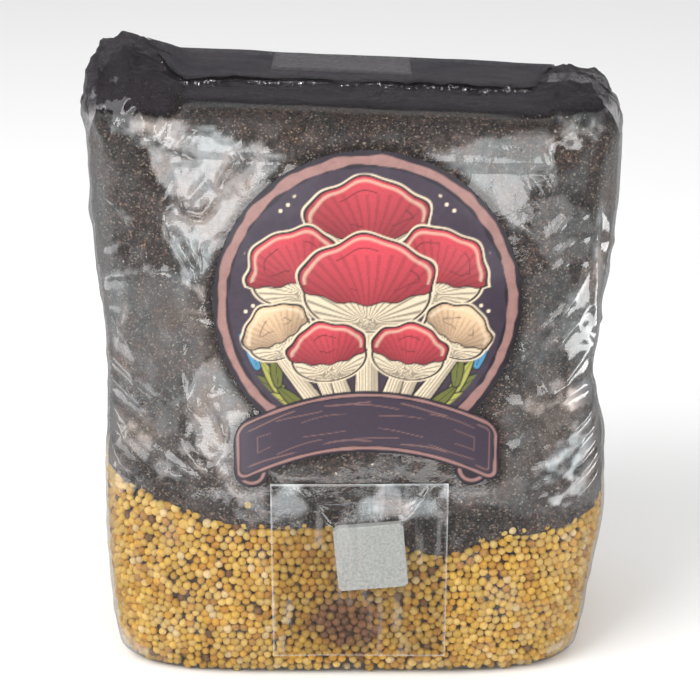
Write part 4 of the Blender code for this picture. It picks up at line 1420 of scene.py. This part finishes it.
def area_light(name, place, aim, width, height, radiance, mirrored, colour=(1, 1, 1)):
    """A rectangular light. A mirrored one is only seen in gloss, and the others only light the object."""
    light = bpy.data.lights.new(name, "AREA")
    light.shape = "RECTANGLE"
    light.size, light.size_y = width, height
    light.energy = math.pi * width * height * radiance
    light.color = colour
    made = bpy.data.objects.new(name, light)
    made.location = place
    made.rotation_euler = (Vector(aim) - Vector(place)).to_track_quat("-Z", "Y").to_euler()
    made.visible_camera = False
    made.visible_diffuse = not mirrored
    made.visible_glossy = mirrored
    bpy.context.scene.collection.objects.link(made)


def card(name, x, y, width, depth, radiance):
    """A bright card on the floor, seen only in the gloss of the film."""
    area_light(name, (x, y, 4 * MM), (x, y, 1), width, depth, radiance, True)


def lights():
    """Two lights on the object, and the windows, cards and strips that its gloss mirrors."""
    area_light("key", (-0.9, -0.75, 1.2), (0, 0, 0.1), 1.0, 1.0, 7.3, False)
    area_light("fill", (1.0, -0.9, 0.7), (0, 0, 0.1), 0.9, 0.9, 2.0, False)
    bag = (0, -0.05, 0.16)
    area_light("window_left", (-0.31, -1.30, 0.38), bag, 0.40, 0.72, 3.6, True)
    area_light("window_right", (0.42, -1.30, 0.36), bag, 0.42, 0.62, 3.0, True)
    card("card_low_left", -0.12, -0.33, 0.09, 0.15, 4.2)
    card("card_front", 0.0, -0.235, 0.20, 0.035, 2.4)
    card("card_right", 0.40, 0.02, 0.22, 0.24, 3.8)
    card("card_left", -0.36, 0.0, 0.20, 0.24, 1.2)
    area_light("sky_left", (-0.55, -0.35, 1.0), (0, 0, 0.2), 0.55, 0.55, 1.5, True)
    area_light("sky_right", (0.60, -0.30, 0.9), (0, 0, 0.2), 0.45, 0.45, 1.5, True)
    area_light("strip_high", (-0.35, -0.60, 0.95), (0, 0, 0.2), 0.10, 0.5, 5.0, True)
    area_light("strip_right", (0.55, -0.45, 0.75), (0, 0, 0.2), 0.5, 0.10, 4.0, True)


def surroundings():
    """White to the camera, bright and even on the object, and dark in gloss but for the lights."""
    world = bpy.data.worlds.new("studio")
    world.use_nodes = True
    tree = world.node_tree
    background = tree.nodes["Background"]
    background.inputs["Color"].default_value = (1, 1, 1, 1)
    path = tree.nodes.new("ShaderNodeLightPath")
    strength = tree.nodes.new("ShaderNodeMix")
    strength.inputs[2].default_value = 0.85
    strength.inputs[3].default_value = 1.0
    gloss = tree.nodes.new("ShaderNodeMix")
    gloss.inputs[3].default_value = 0.09
    tree.links.new(path.outputs["Is Camera Ray"], strength.inputs[0])
    tree.links.new(path.outputs["Is Glossy Ray"], gloss.inputs[0])
    tree.links.new(strength.outputs[0], gloss.inputs[2])
    tree.links.new(gloss.outputs[0], background.inputs["Strength"])
    bpy.context.scene.world = world


camera()
film_skin()
compost()
millet()
crumbs()
label()
patch()
top_flap()
droplets()
dress_cad_nodes()
floor()
lights()
surroundings()
bpy.context.scene.view_settings.view_transform = "Standard"
